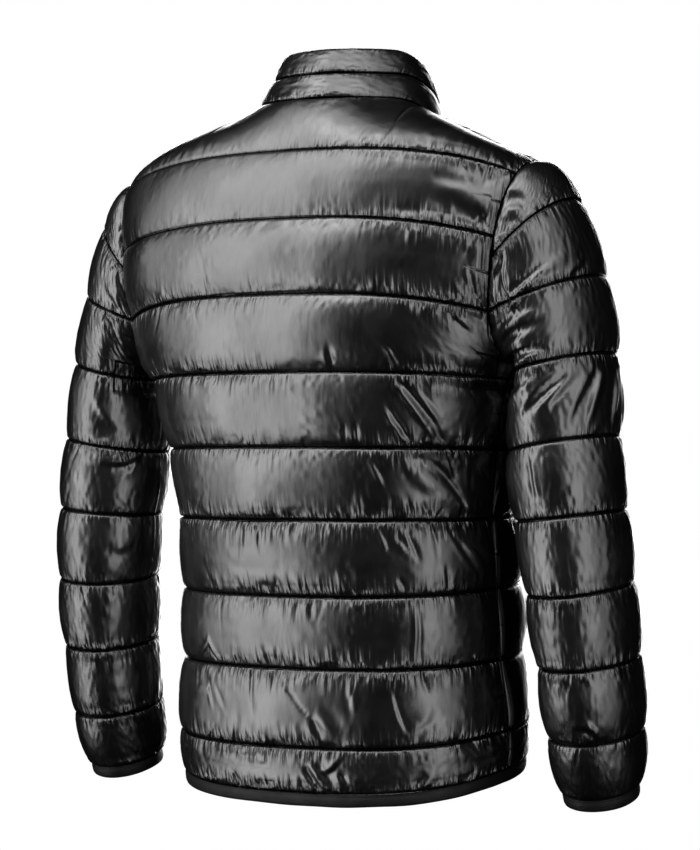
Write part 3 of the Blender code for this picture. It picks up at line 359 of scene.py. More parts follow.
# Soft lights: turn in degrees from the camera towards the picture's right, then distance, height,
# width and length in metres, and power in watts.
SOFTBOXES = (
    ("left_wide", -79.0, 2.3, 0.3, 2.2, 5.2, 88.0),
    ("left_core", -71.0, 2.2, 0.3, 0.9, 5.2, 64.0),
    ("right_wide", 34.0, 2.5, 0.3, 2.5, 5.2, 74.0),
    ("right_core", 19.0, 2.4, 0.3, 1.1, 5.2, 48.0),
    ("shoulder", -10.0, 2.0, 2.2, 1.3, 1.2, 17.0),
    ("overhead", -32.0, 0.8, 1.5, 1.5, 1.4, 26.0),
    ("front", 172.0, 2.8, 0.1, 2.2, 2.2, 90.0),
)
LIGHTS_AIM = -0.35           # height that they all point at
GAMMA = 0.85
FLOOR_RADIUS = 3.4
FLOOR_HEIGHT = -1.25


# ---------------------------------------------------------------- small mathematics
def unit(vectors):
    """Each vector at length 1."""
    vectors = np.asarray(vectors, float)
    return vectors / np.maximum(np.linalg.norm(vectors, axis=-1, keepdims=True), 1e-12)


def smooth_step(x):
    """0 below 0, 1 above 1, and a soft rise between them."""
    x = np.clip(x, 0.0, 1.0)
    return x * x * (3.0 - 2.0 * x)


def through(knots, values, where):
    """A smooth curve through the values of a short table, read at `where`."""
    knots, values = np.asarray(knots, float), np.asarray(values, float)
    slopes = np.gradient(values, knots)
    i = np.clip(np.searchsorted(knots, where, side="right") - 1, 0, len(knots) - 2)
    step = knots[i + 1] - knots[i]
    s = (where - knots[i]) / step
    return ((1 + 2 * s) * (1 - s) ** 2 * values[i] + s * (1 - s) ** 2 * step * slopes[i]
            + s * s * (3 - 2 * s) * values[i + 1] + s * s * (s - 1) * step * slopes[i + 1])


def hermite(start, end, leave, arrive, s):
    """Point at share s of the curve that leaves start along `leave` and reaches end along `arrive`."""
    return ((1 + 2 * s) * (1 - s) ** 2 * start + s * (1 - s) ** 2 * leave
            + s * s * (3 - 2 * s) * end + s * s * (s - 1) * arrive)


def rounded(angle, fullness):
    """Sine and cosine of a rounded rectangle's outline, fuller than an ellipse's."""
    sine, cosine = np.sin(angle), np.cos(angle)
    power = 2.0 / fullness
    return (np.sign(sine) * np.abs(sine) ** power, np.sign(cosine) * np.abs(cosine) ** power)


def lengths(points):
    """How far along a path each of its points lies."""
    return np.concatenate([[0.0], np.cumsum(np.linalg.norm(np.diff(points, axis=0), axis=1))])


def read_at(where, knots, points):
    """Points, or directions, at places along a path."""
    return np.stack([np.interp(where, knots, points[:, k]) for k in range(3)], axis=-1)


def placed(name, data):
    """A new object in the scene."""
    made = bpy.data.objects.new(name, data)
    bpy.context.scene.collection.objects.link(made)
    return made


def row_lines(last):
    """The line value of every grid row from 0 to the last quilt line."""
    return [k + share for k in range(int(last)) for share in ROW_SHARES] + [float(last)]


def body_size(column, line):
    """A column of the BODY table at any line, in metres."""
    k = BODY_COLUMNS.index(column)
    return MM * through([row[0] for row in BODY], [row[k] for row in BODY], line)


def sleeve_size(column, line):
    """A column of the SLEEVE table at any line: metres, or a slope."""
    k = SLEEVE_COLUMNS.index(column)
    scale = 1.0 if column.startswith("rise") else MM
    return scale * through([row[0] for row in SLEEVE], [row[k] for row in SLEEVE], line)


LINES = row_lines(HEM_LINE)


# ---------------------------------------------------------------- seams that two pieces share
def armhole(turn, is_back):
    """Point of the left armhole at a turn in degrees: 0 at the shoulder tip, 180 at the armpit."""
    across, up = rounded(np.radians(turn), ARMHOLE_FULLNESS)
    table = ARMHOLE_X_BACK if is_back else ARMHOLE_X_FRONT
    x = MM * through([t for t, _ in table], [x for _, x in table], turn)
    y = ARMHOLE_Y + (ARMHOLE_HALF_DEPTH if is_back else -ARMHOLE_HALF_DEPTH) * across
    return np.array([x, y, ARMHOLE_Z + ARMHOLE_HALF_HEIGHT * up])


def armhole_turn(line, is_back):
    """Turn at which a line of the body meets the armhole."""
    table = ARMHOLE_TURN_BACK if is_back else ARMHOLE_TURN_FRONT
    return float(np.interp(line, [v for v, _ in table], [t for _, t in table]))


def armhole_outward(line, is_back):
    """Direction across the wall at the armhole, square to the loop and to the X axis."""
    turn = armhole_turn(line, is_back)
    before = armhole(max(turn - PROBE_TURN, 0.0), is_back)
    after = armhole(min(turn + PROBE_TURN, 180.0), is_back)
    along = after - before
    sign = 1.0 if is_back else -1.0
    return unit([0.0, -sign * along[2], sign * along[1]])


def collar_ring(ring, turns):
    """Points of one collar ring at turns in degrees from the centre back, on the wearer's left."""
    size = dict(zip(COLLAR_COLUMNS, COLLAR[ring]))
    a = np.radians(turns)
    fall = smooth_step((turns - size["from_turn"]) / (size["to_turn"] - size["from_turn"]))
    return MM * np.stack([size["half_width"] * np.sin(a),
                          size["mid_y"] + size["half_depth"] * np.cos(a),
                          size["back_z"] - size["drop"] * fall], axis=-1)


def zip_turn(ring):
    """Turn at which a collar ring reaches the cloth's edge beside the zip."""
    return 180.0 - np.degrees(np.arcsin(ZIP_EDGE / (COLLAR[ring][0] * MM)))


def collar_turns(ring):
    """Turns of the left half's columns, from the centre back to the zip."""
    back = np.linspace(0.0, 90.0, BACK_NECK_COLUMNS + 1)
    front = np.linspace(90.0, zip_turn(ring), FRONT_NECK_COLUMNS + 1)
    return np.concatenate([back, front[1:]])


def neck_outward(turns):
    """Direction across the wall at the neck seam, and the direction up into the collar."""
    a = np.radians(turns)
    radial = np.stack([np.sin(a), np.cos(a), np.zeros_like(a)], axis=-1)
    rise = np.array([0.0, 0.0, 1.0])
    return NECK_OUT * radial + NECK_UP * rise, NECK_OUT * rise - NECK_UP * radial


def shoulder_points():
    """Points of the left shoulder seam, from the neck to the tip."""
    table = MM * np.array(SHOULDER_SEAM)
    knots = lengths(table)
    where = np.linspace(0.0, knots[-1], SHOULDER_COLUMNS + 1)
    return np.stack([through(knots, table[:, k], where) for k in range(3)], axis=-1)


# ---------------------------------------------------------------- body panels (left half)
def column_shares(is_back):
    """Where the columns of a half panel lie along each row: 0 in the middle, 1 at the side."""
    neck = BACK_NECK_COLUMNS if is_back else FRONT_NECK_COLUMNS
    share = BACK_NECK_SHARE if is_back else FRONT_NECK_SHARE
    return np.concatenate([np.linspace(0.0, share, neck + 1),
                           np.linspace(share, 1.0, SHOULDER_COLUMNS + 1)[1:]])


def body_row(line, is_back, shares):
    """Points of one level of the body, from the middle to the armhole or the side seam."""
    depth = body_size("back_y" if is_back else "front_y", line)
    middle_z = body_size("back_z" if is_back else "front_z", line)
    side_y = body_size("side_y", line)
    if line < ARMPIT_LINE:
        end = armhole(armhole_turn(line, is_back), is_back)
    else:
        end = np.array([body_size("half_width", line), side_y, body_size("side_z", line)])
    out_share = abs((end[1] - side_y) / (depth - side_y)) ** BODY_FULLNESS
    half_width = end[0] / (1.0 - out_share) ** (1.0 / BODY_FULLNESS)
    last = np.arcsin(min(1.0, (end[0] / half_width) ** (BODY_FULLNESS / 2.0)))
    first = 0.0 if is_back else np.arcsin((ZIP_EDGE / half_width) ** (BODY_FULLNESS / 2.0))
    sine, cosine = rounded(first + (last - first) * shares, BODY_FULLNESS)
    z = middle_z + (end[2] - middle_z) * (1.0 - np.cos(shares * np.pi / 2.0))
    return np.stack([half_width * sine, side_y + (depth - side_y) * cosine, z], axis=-1)


def top_row(is_back):
    """Neck seam and shoulder seam in one row, from the middle to the shoulder tip."""
    turns = collar_turns(0)
    if is_back:
        neck = collar_ring(0, turns[:BACK_NECK_COLUMNS + 1])
    else:
        neck = collar_ring(0, turns[BACK_NECK_COLUMNS:])[::-1]
    return np.concatenate([neck, shoulder_points()[1:]])


def top_slopes(is_back):
    """Direction in which each column leaves the top row, over the shoulder or down from the neck."""
    neck = BACK_NECK_COLUMNS if is_back else FRONT_NECK_COLUMNS
    top = top_row(is_back)
    toward = body_row(1.0, is_back, column_shares(is_back)) - top
    down = np.arctan2(-toward[:, 2], np.linalg.norm(toward[:, :2], axis=1)) * YOKE_START
    flat = unit(toward * [1.0, 1.0, 0.0])
    leave = flat * np.cos(down)[:, None] + np.array([0.0, 0.0, -1.0]) * np.sin(down)[:, None]
    back = body_row(1.0, True, column_shares(True))[BACK_NECK_COLUMNS:] - shoulder_points()
    front = body_row(1.0, False, column_shares(False))[FRONT_NECK_COLUMNS:] - shoulder_points()
    over = unit(unit(back) - unit(front))
    leave[neck:] = over if is_back else -over
    return leave


def body_half(is_back):
    """Base points of the left half of the back, or of the left front: rows by columns."""
    shares = column_shares(is_back)
    first = body_row(1.0, is_back, shares)
    onward = unit(body_row(1.05, is_back, shares) - first)
    top, leave = top_row(is_back), top_slopes(is_back)
    length = np.linalg.norm(first - top, axis=1, keepdims=True)
    rows = []
    for line in row_lines(HEM_LINE):
        if line < 1.0:
            row = hermite(top, first, leave * length * YOKE_ROUND, onward * length, line)
            miss = armhole(armhole_turn(line, is_back), is_back) - row[-1]
            row = row + miss * (shares ** 4)[:, None]
        else:
            row = body_row(line, is_back, shares)
        rows.append(row)
    return np.array(rows)


# ---------------------------------------------------------------- sleeve (left)
def sleeve_ring(line, turns):
    """Points of a closed sleeve ring: turn 0 at the underarm, 90 behind, 180 outside, 270 in front."""
    a = np.radians(turns)
    outward = -np.cos(a)
    reach = np.where(outward > 0.0, sleeve_size("out", line), sleeve_size("in", line)) * outward
    back = sleeve_size("half_depth", line) * np.sin(a)
    z = (sleeve_size("z", line) + sleeve_size("rise_out", line) * reach
         - sleeve_size("rise_front", line) * back)
    return np.stack([sleeve_size("x", line) + reach, sleeve_size("y", line) + back, z], axis=-1)


def loop_samples():
    """The whole armhole as closely spaced turns of the sleeve's columns, with its points."""
    back = np.array([armhole(t, True) for t in LOOP_TURNS[::-1]])
    front = np.array([armhole(t, False) for t in LOOP_TURNS])
    points = np.concatenate([back, front[1:]])
    length = lengths(points)
    tip = length[len(LOOP_TURNS) - 1]
    turns = np.where(length <= tip, 180.0 * length / tip,
                     180.0 + 180.0 * (length - tip) / (length[-1] - tip))
    return turns, points


def cap_point(turns, along, loop):
    """Point on the sleeve's upper part: `along` is 0 on the armhole and 1 on the first full ring."""
    start = read_at(turns, *loop)
    end = sleeve_ring(FIRST_RING, turns)
    length = np.linalg.norm(end - start, axis=-1, keepdims=True)
    spread = (start[..., 1] - ARMHOLE_Y) / ARMHOLE_HALF_DEPTH
    leave = unit(np.stack([np.ones_like(spread), CAP_SPREAD * spread - CAP_FORWARD,
                           np.full_like(spread, -CAP_DOWN)], axis=-1)) * length * CAP_OUT
    arrive = unit(sleeve_ring(FIRST_RING + 0.5, turns) - end) * length
    return hermite(start, end, leave, arrive, along[..., None])


def cap_cut(turns, loop, is_above):
    """Where each column of the sleeve's upper part crosses a surface that it starts above."""
    low, high = np.zeros_like(turns), np.ones_like(turns)
    for _ in range(BISECTIONS):
        middle = (low + high) / 2.0
        above = is_above(cap_point(turns, middle, loop))
        low, high = np.where(above, middle, low), np.where(above, high, middle)
    return cap_point(turns, low, loop)


def cap_row(line, loop):
    """A sleeve row that ends on the armhole: the cut of the sleeve by a slanting plane."""
    back = armhole(armhole_turn(line, True), True)
    front = armhole(armhole_turn(line, False), False)
    first = np.interp(armhole_turn(line, True), *turn_of_armhole(loop, True))
    last = np.interp(armhole_turn(line, False), *turn_of_armhole(loop, False))
    turns = np.linspace(first, last, SLEEVE_COLUMNS_ROUND + 1)
    outer_z = MM * np.interp(line, [v for v, _ in SLEEVE_OUTER_Z], [z for _, z in SLEEVE_OUTER_Z])
    outer = cap_cut(np.array([180.0]), loop, lambda points: points[:, 2] > outer_z)[0]
    if line < ARMPIT_LINE:
        across = back - front
    else:
        across = np.array([0.0, 1.0, 0.0])
    normal = np.cross(across, outer - back)
    normal = normal / normal[2]
    row = cap_cut(turns, loop, lambda points: (points - back) @ normal > 0.0)
    row[0], row[-1] = back, front
    return row


def turn_of_armhole(loop, is_back):
    """Tables that give the sleeve's column turn for a turn round one half of the armhole."""
    tip = len(LOOP_TURNS) - 1
    return (LOOP_TURNS, loop[0][tip::-1]) if is_back else (LOOP_TURNS, loop[0][tip:])


def sleeve_rows():
    """Base points of the left sleeve: rows by columns, the first row gathered in the shoulder tip."""
    loop = loop_samples()
    turns = np.linspace(0.0, 360.0, SLEEVE_COLUMNS_ROUND + 1)
    first_ring = sleeve_ring(FIRST_RING, turns)
    onward = (sleeve_ring(FIRST_RING + 0.1, turns) - first_ring) * (FIRST_RING - ARMPIT_LINE) / 0.1
    rows = []
    for line in row_lines(SLEEVE_LINES[-1]):
        if line == 0.0:
            rows.append(np.repeat([armhole(0.0, True)], SLEEVE_COLUMNS_ROUND + 1, axis=0))
        elif line <= ARMPIT_LINE:
            rows.append(cap_row(line, loop))
            armpit_row = rows[-1]
        elif line < FIRST_RING:
            share = (line - ARMPIT_LINE) / (FIRST_RING - ARMPIT_LINE)
            rows.append(hermite(armpit_row, first_ring, first_ring - armpit_row, onward, share))
        else:
            rows.append(sleeve_ring(line, turns))
    return np.array(rows)


# ---------------------------------------------------------------- walls from grids of points
def grid_normals(grid, wrap_from=None):
    """Outward direction at each grid point, from its neighbours."""
    down = np.gradient(grid, axis=0)
    along = np.gradient(grid, axis=1)
    if wrap_from is not None:
        turn = (grid[wrap_from:, 1] - grid[wrap_from:, -2]) / 2.0
        along[wrap_from:, 0] = along[wrap_from:, -1] = turn
    return unit(np.cross(down, along))


def crown(line, lines):
    """Height of the quilting at a row, from 0 on a quilt line to 1 half way between two."""
    k = int(np.clip(np.searchsorted(lines, line, side="right") - 1, 0, len(lines) - 2))
    s = (line - lines[k]) / (lines[k + 1] - lines[k])
    return np.sin(np.pi * np.clip(s, 0.0, 1.0)) ** PUFF_SHAPE


def crowns(count, lines):
    """Height of the quilting at the first grid rows, as a column."""
    return np.array([crown(LINES[i], lines) for i in range(count)])[:, None]


def grid_quads(index):
    """Faces between the rows and columns of a grid of point numbers."""
    corners = [index[:-1, :-1], index[1:, :-1], index[1:, 1:], index[:-1, 1:]]
    return np.stack(corners, axis=-1).reshape(-1, 4).tolist()


def baffle_heights(grid):
    """Height of the baffle that each grid point lies in."""
    last = len(grid) - 1
    heights = np.zeros(grid.shape[:2])
    for i in range(len(grid)):
        top = min(i // STEPS * STEPS, last - STEPS)
        heights[i] = np.linalg.norm(grid[top + STEPS] - grid[top], axis=-1)
    return heights


def strip(faces, outer, inner, kept):
    """Faces that close the edge between a fine outer row of points and a coarse inner one."""
    for a, b in zip(kept[:-1], kept[1:]):
        half = (a + b + 1) // 2
        for j in range(a, half):
            faces.append((inner[a], outer[j], outer[j + 1]))
        faces.append((inner[a], outer[half], inner[b]))
        for j in range(half, b):
            faces.append((inner[b], outer[j], outer[j + 1]))


def mirrored(grid):
    """The wearer's right side from the left one."""
    return grid * np.array([-1.0, 1.0, 1.0])


def zip_outward(path):
    """Direction out of the cloth along the zip, square to its path in the middle plane."""
    along = np.gradient(path, axis=0) * [0.0, 1.0, 1.0]
    return unit(np.stack([0.0 * along[:, 0], along[:, 2], -along[:, 1]], axis=-1))


def collar_half():
    """Base points of the collar's left half, from the centre back to the zip."""
    rings = [collar_ring(k, collar_turns(k)) for k in range(len(COLLAR))]
    return np.array([np.stack([through(np.arange(len(COLLAR)), [r[c, k] for r in rings], line)
                               for c in range(len(rings[0])) for k in range(3)]).reshape(-1, 3)
                     for line in row_lines(len(COLLAR) - 1)])[::-1]


# ---------------------------------------------------------------- folds in the cloth
def measured(grid):
    """Lengths along the rows, from the middle column, and down the columns of a grid."""
    along = np.zeros(grid.shape[:2])
    along[:, 1:] = np.cumsum(np.linalg.norm(np.diff(grid, axis=1), axis=-1), axis=1)
    along -= along[:, along.shape[1] // 2][:, None]
    down = np.zeros(grid.shape[:2])
    down[1:] = np.cumsum(np.linalg.norm(np.diff(grid, axis=0), axis=-1), axis=0)
    return along, down


def lumps(points, size, seed, waves=18):
    """Smooth noise from -1 to 1 or so in space, its features about `size` across."""
    rng = np.random.default_rng(seed)
    total = np.zeros(points.shape[:-1])
    for _ in range(waves):
        way = unit(rng.normal(size=3)) * 2.0 * np.pi / (size * rng.uniform(1.4, 3.2))
        total += np.sin(points @ way + rng.uniform(0.0, 2.0 * np.pi))
    return total * np.sqrt(2.0 / waves) * 0.7


def puckers(height, along, away, strength, rng, spacing, reach, width, lift):
    """Small creases square to a stitched line.  `away` is the distance from it, below 0 beyond it."""
    first, last = along.min(), along.max()
    spot = first + rng.uniform(0.0, spacing)
    while spot < last:
        length = reach * rng.lognormal(0.0, PUCKER_LENGTHS)
        half = width * rng.lognormal(0.0, PUCKER_WIDTHS)
        lean = rng.normal(0.0, PUCKER_LEAN)
        sway = rng.normal(0.0, PUCKER_SWAY)
        rise = lift * rng.normal(PUCKER_SINK, PUCKER_VARIETY)
        half *= 0.8 if rise < 0.0 else 1.25
        share = away / length
        widening = half * (0.7 + 1.1 * np.clip(share, 0, 1))
        off = (along - spot - lean * away - sway * away * away) / widening
        near = (away > 0.0) & (share < 1.0) & (np.abs(off) < 3.0)
        if near.any():
            s, x = share[near], off[near]
            fade = smooth_step(away[near] / (1.6 * MM)) * (1.0 - s) ** 1.5
            height[near] += rise * strength[near] * fade * np.exp(-x * x)
        spot += spacing * rng.uniform(0.45, 1.6)


def crease(height, along, down, ends, bend, half, lift):
    """A long soft fold between two places of a panel, a ridge with a trough beside it."""
    (r0, c0), (r1, c1) = ends
    a = np.array([along[r0, c0], down[r0, c0]])
    b = np.array([along[r1, c1], down[r1, c1]])
    way = b - a
    length = np.linalg.norm(way)
    way /= length
    x, y = along - a[0], down - a[1]
    t = (x * way[0] + y * way[1]) / length
    inside = (t > 0.0) & (t < 1.0)
    t = np.clip(t, 0.0, 1.0)
    off = (x * way[1] - y * way[0]) - bend * 4.0 * t * (1.0 - t)
    taper = np.sin(np.pi * t) ** 0.8
    width = half * (0.6 + 0.4 * taper) * np.where(off > 0.0, 0.75, 1.3)
    profile = np.exp(-np.abs(off / width) ** 1.9) - 0.5 * np.exp(-((off - 1.5 * half) / half) ** 2)
    height += np.where(inside, lift * taper * profile, 0.0)


# ---------------------------------------------------------------- cloth between its stitching
def between(values):
    """Twice as many rows and columns, through the given ones."""
    for axis in (0, 1):
        v = np.moveaxis(values, axis, 0)
        padded = np.concatenate([2.0 * v[:1] - v[1:2], v, 2.0 * v[-1:] - v[-2:-1]])
        middle = (9.0 * (padded[1:-2] + padded[2:-1]) - padded[:-3] - padded[3:]) / 16.0
        full = np.empty((2 * len(v) - 1,) + v.shape[1:])
        full[::2], full[1::2] = v, middle
        values = np.moveaxis(full, 0, axis)
    return values


def settled(sewn, normals, puff, lines, seed):
    """How far Blender's cloth simulation moves each point of a filled, gathered panel."""
    fine, out = (sewn + normals * puff[..., None])[::2, ::2], normals[::2, ::2]
    rows, columns = fine.shape[:2]
    held = np.zeros((rows, columns), bool)
    held[:, 0] = held[:, -1] = True
    held[[row_at(line) // 2 for line in lines]] = True
    rng = np.random.default_rng(seed)
    start = fine + out * (rng.normal(0.0, START_UNEVEN, (rows, columns)) * ~held)[..., None]
    centre = fine.mean(axis=1, keepdims=True) * [1.0, 1.0, 0.0]
    cut = centre + (fine - centre) * [GATHER, GATHER, 1.0]
    index = np.arange(rows * columns).reshape(rows, columns)
    mesh = bpy.data.meshes.new("settling")
    mesh.from_pydata(start.reshape(-1, 3).tolist(), [], grid_quads(index))
    facing = np.array([polygon.normal for polygon in mesh.polygons])
    if (facing * out[:-1, :-1].reshape(-1, 3)).sum() < 0.0:
        mesh.flip_normals()
    cloth = placed("settling", mesh)
    cloth.shape_key_add(name="sewn")
    rest = cloth.shape_key_add(name="cut")
    rest.data.foreach_set("co", cut.ravel())
    stitched = cloth.vertex_groups.new(name="stitched")
    stitched.add(index[held].tolist(), 1.0, "REPLACE")
    modifier = cloth.modifiers.new("Cloth", "CLOTH")
    settings = modifier.settings
    settings.vertex_group_mass = "stitched"
    settings.rest_shape_key = rest
    settings.quality = 6
    settings.bending_stiffness = 0.02
    settings.effector_weights.gravity = 0.0
    settings.use_pressure = True
    settings.uniform_pressure_force = FILL_PRESSURE
    modifier.collision_settings.use_collision = False
    modifier.point_cache.frame_start, modifier.point_cache.frame_end = 1, CLOTH_FRAMES
    for moment in range(1, CLOTH_FRAMES + 1):
        bpy.context.scene.frame_set(moment)
    result = cloth.evaluated_get(bpy.context.evaluated_depsgraph_get()).to_mesh()
    moved = np.empty(rows * columns * 3)
    result.vertices.foreach_get("co", moved)
    move = moved.reshape(rows, columns, 3) - fine
    bpy.data.objects.remove(cloth)
    bpy.data.meshes.remove(mesh)
    size = np.linalg.norm(move, axis=-1, keepdims=True)
    move *= MOVE_CAP / np.maximum(size, MOVE_CAP)
    return between(move)


def covered(sewn, normals, height, move):
    """Outer points: heights along the normals and the cloth's own shift, clear of the lining."""
    outer = sewn + normals * height[..., None] + move
    above = ((outer - sewn) * normals).sum(axis=-1)
    return outer + normals * np.maximum(-DEEPEST - above, 0.0)[..., None]


# ---------------------------------------------------------------- closed shells from grids
def shell(name, outer, inner, stitch, gather, tube_from=None, coarse=4):
    """Closed wall: a fine outside and a plainer inside that keeps every `coarse` row and column."""
    rows, columns = outer.shape[:2]
    armpit = rows if tube_from is None else tube_from
    kept_r = sorted(set(range(0, rows, coarse)) | {rows - 1})
    kept_c = sorted(set(range(0, columns, coarse)) | {columns - 1})
    out_id = np.arange(rows * columns).reshape(rows, columns)
    in_id = rows * columns + np.arange(len(kept_r) * len(kept_c)).reshape(len(kept_r), -1)
    points = np.concatenate([outer.reshape(-1, 3), inner[np.ix_(kept_r, kept_c)].reshape(-1, 3)])
    faces = grid_quads(out_id)
    lining_from = len(faces)
    faces += [[a, d, c, b] for a, b, c, d in grid_quads(in_id)]
    lining_to = len(faces)
    in_row = {r: k for k, r in enumerate(kept_r)}
    in_column = {c: k for k, c in enumerate(kept_c)}
    for r in (0, rows - 1):
        strip(faces, {c: int(out_id[r, c]) for c in range(columns)},
              {c: int(in_id[in_row[r], in_column[c]]) for c in kept_c}, kept_c)
    side = [r for r in kept_r if r <= armpit]
    for c in (0, columns - 1):
        strip(faces, {r: int(out_id[r, c]) for r in range(side[-1] + 1)},
              {r: int(in_id[in_row[r], in_column[c]]) for r in side}, side)
    mesh = bpy.data.meshes.new(name)
    mesh.from_pydata(points.tolist(), [], faces)
    beside = np.zeros((len(points), 3))
    beside[:, 1] = 1.0
    beside[:rows * columns] = stitch.reshape(-1, 3)
    mesh.attributes.new("stitch", "FLOAT_VECTOR", "POINT").data.foreach_set("vector", beside.ravel())
    drawn = np.zeros(len(points))
    drawn[:rows * columns] = gather.ravel()
    mesh.attributes.new("gather", "FLOAT", "POINT").data.foreach_set("value", drawn)
    mesh.polygons.foreach_set("material_index", [int(lining_from <= k < lining_to)
                                                 for k in range(len(faces))])
    bm = bmesh.new()
    bm.from_mesh(mesh)
    bmesh.ops.remove_doubles(bm, verts=bm.verts, dist=MERGE_WITHIN)
    bmesh.ops.recalc_face_normals(bm, faces=bm.faces)
    if bm.calc_volume(signed=True) < 0.0:
        bmesh.ops.reverse_faces(bm, faces=bm.faces)
    bmesh.ops.triangulate(bm, faces=bm.faces, quad_method="SHORT_EDGE")
    bm.to_mesh(mesh)
    bm.free()
    mesh.shade_smooth()
    return placed(name, mesh)


# ---------------------------------------------------------------- quilted panels
def panel_surface(is_back):
    """Sewn points, outward normals and quilting of the left half of the back, or the left front."""
    base = body_half(is_back)
    armpit = ARMPIT_ROW
    neck = BACK_NECK_COLUMNS if is_back else FRONT_NECK_COLUMNS
    if is_back:
        normals = -grid_normals(base)
        normals[:, 0] = unit(normals[:, 0] * [0.0, 1.0, 1.0])
    else:
        normals = grid_normals(base)
        normals[:, 0] = zip_outward(base[:, 0])
    turns = collar_turns(0)
    neck_turns = turns[:neck + 1] if is_back else turns[BACK_NECK_COLUMNS:][::-1]
    out, up = neck_outward(neck_turns)
    sew = (1.0 if is_back else -1.0) * SEAM_GAP / 2.0
    over = unit(np.cross(np.gradient(shoulder_points(), axis=0), top_slopes(is_back)[neck:]))
    over *= np.sign(over[:, 2:3])
    normals[0, neck:] = over
    normals[0, :neck + 1] = out
    normals[armpit:, -1] = (1.0, 0.0, 0.0)
    for i in range(armpit + 1):
        normals[i, -1] = armhole_outward(LINES[i], is_back)
    sewn = base.copy()
    sewn[0, neck:, 1] += sew
    sewn[0, :neck + 1] -= up * SEAM_GAP / 2.0
    sewn[armpit:, -1, 1] += sew
    sewn[:armpit + 1, -1, 0] -= SEAM_GAP / 2.0
    sewn[-1, :, 2] += SEAM_GAP / 2.0
    puff = baffle_heights(base) * BODY_PUFF
    puff[:STEPS] *= YOKE_PUFF / BODY_PUFF
    puff[STEPS:2 * STEPS] *= SECOND_FLAT
    armpit_rows = slice(armpit - STEPS // 8, armpit + PRESSED_ROWS)
    puff[armpit_rows, -SHOULDER_COLUMNS // 3:] *= UNDERARM_FLAT
    puff *= crowns(len(base), BODY_LINES)
    return sewn, normals, puff


def edge_ease(along_edge, reach):
    """0 on a sewn edge and 1 from `reach` into the panel, rounded like a cushion's side."""
    s = np.clip(np.abs(along_edge) / reach, 0.0, 1.0)
    return np.sqrt(1.0 - (1.0 - s) ** 2)


def row_at(line):
    """Grid row nearest to a line value."""
    return int(np.argmin(np.abs(np.array(LINES) - line)))


def quilt_folds(height, along, down, lines, strength, rng):
    """Puckers on both sides of every stitched line of a panel."""
    for k, line in enumerate(lines):
        row = row_at(line)
        for side in (-1, 1):
            other = lines[k + side] if 0 <= k + side < len(lines) else None
            if other is None:
                continue
            lo, hi = sorted((row, row_at(other)))
            part = slice(lo, hi + 1)
            away = (down[part] - down[row]) * side
            view = height[part]
            for spacing, reach, half, lift in PUCKERS:
                puckers(view, along[part], away, strength[part], rng,
                        spacing * MM, reach * MM, half * MM, lift * MM)


def beside_stitching(sewn, lines):
    """For the shader: place along the stitching, distance from it, and which side of which line.

    In a narrow baffle the distance is drawn out towards the middle, so that creases end before it.
    """
    along, down = measured(sewn)
    rows = np.array([row_at(line) for line in lines])
    away = down[:, None] - down[rows][None]
    above = np.where(away >= 0.0, away, np.inf).min(axis=1)
    below = np.where(away <= 0.0, -away, np.inf).min(axis=1)
    half = np.maximum(0.5 * (above + below), 0.1 * MM)
    nearest = np.abs(away).argmin(axis=1)
    away = np.take_along_axis(away, nearest[:, None], axis=1)[:, 0]
    far = np.abs(away)
    far = far * (1.0 + np.maximum(CREASE_REACH / half - 1.0, 0.0) * (far / half) ** 2)
    return np.stack([along, far, nearest + 0.5 * (away > 0.0)], axis=-1)


def seams_too(beside):
    """The shader's distances with a panel's side seams counted as stitching."""
    along = beside[..., 0]
    seam = np.minimum(along - along[:, :1], along[:, -1:] - along)
    beside[..., 1] = np.minimum(beside[..., 1], seam)
    return beside


def view_axes():
    """Directions from the jacket to the camera and to the picture's right."""
    a = np.radians(VIEW_AZIMUTH)
    return np.array([np.sin(a), -np.cos(a), 0.0]), np.array([np.cos(a), np.sin(a), 0.0])


def seen_folds(table, sewn, normals, growth):
    """Folds of a table of picture positions, their ends at the nearest grid points in sight."""
    toward, right = view_axes()
    offset = sewn - (toward * VIEW_DISTANCE + [0.0, 0.0, VIEW_HEIGHT])
    scale = PIXELS_A_METRE * VIEW_DISTANCE / -(offset @ toward)
    column = IMAGE_WIDTH / 2.0 + scale * (offset @ right)
    row = IMAGE_HEIGHT / 2.0 + HORIZON_BELOW_MIDDLE - scale * offset[..., 2]
    hidden = (offset * normals).sum(axis=-1) >= 0.0

    def nearest(x, y):
        """Row and column of the visible grid point nearest to a pixel."""
        miss = np.hypot(column - x, row - y) + 1000.0 * hidden
        return np.unravel_index(np.argmin(miss), miss.shape)

    wider, higher = growth
    folds = []
    for numbers in table:
        fold = dict(zip(FOLD_COLUMNS, numbers))
        ends = nearest(fold["from_x"], fold["from_y"]), nearest(fold["to_x"], fold["to_y"])
        folds.append((ends, fold["bow"] * MM, fold["half_width"] * wider * MM,
                      fold["height"] * higher * MM))
    return folds


def hidden_folds(table, columns):
    """Folds of a table of quilt lines and places across the panel."""
    def end(line, across):
        """Row and column of a place on the panel."""
        return row_at(line), int(round(across * (columns - 1)))

    folds = []
    for numbers in table:
        fold = dict(zip(HIDDEN_FOLD_COLUMNS, numbers))
        ends = end(fold["from_line"], fold["from_across"]), end(fold["to_line"], fold["to_across"])
        folds.append((ends, fold["bow"] * MM, fold["half_width"] * MM, fold["height"] * MM))
    return folds


def place_folds(height, along, down, away, main_folds):
    """Adds the main folds to a panel's heights, calmed beside the stitching."""
    folds = np.zeros(height.shape)
    for ends, bow, half, lift in main_folds:
        crease(folds, along, down, ends, bow, half, lift)
    folds = 0.5 * folds + 0.25 * (np.roll(folds, 1, axis=0) + np.roll(folds, -1, axis=0))
    height += FOLD_LIMIT * np.tanh(folds / FOLD_LIMIT) * smooth_step(away / FOLD_FREE)


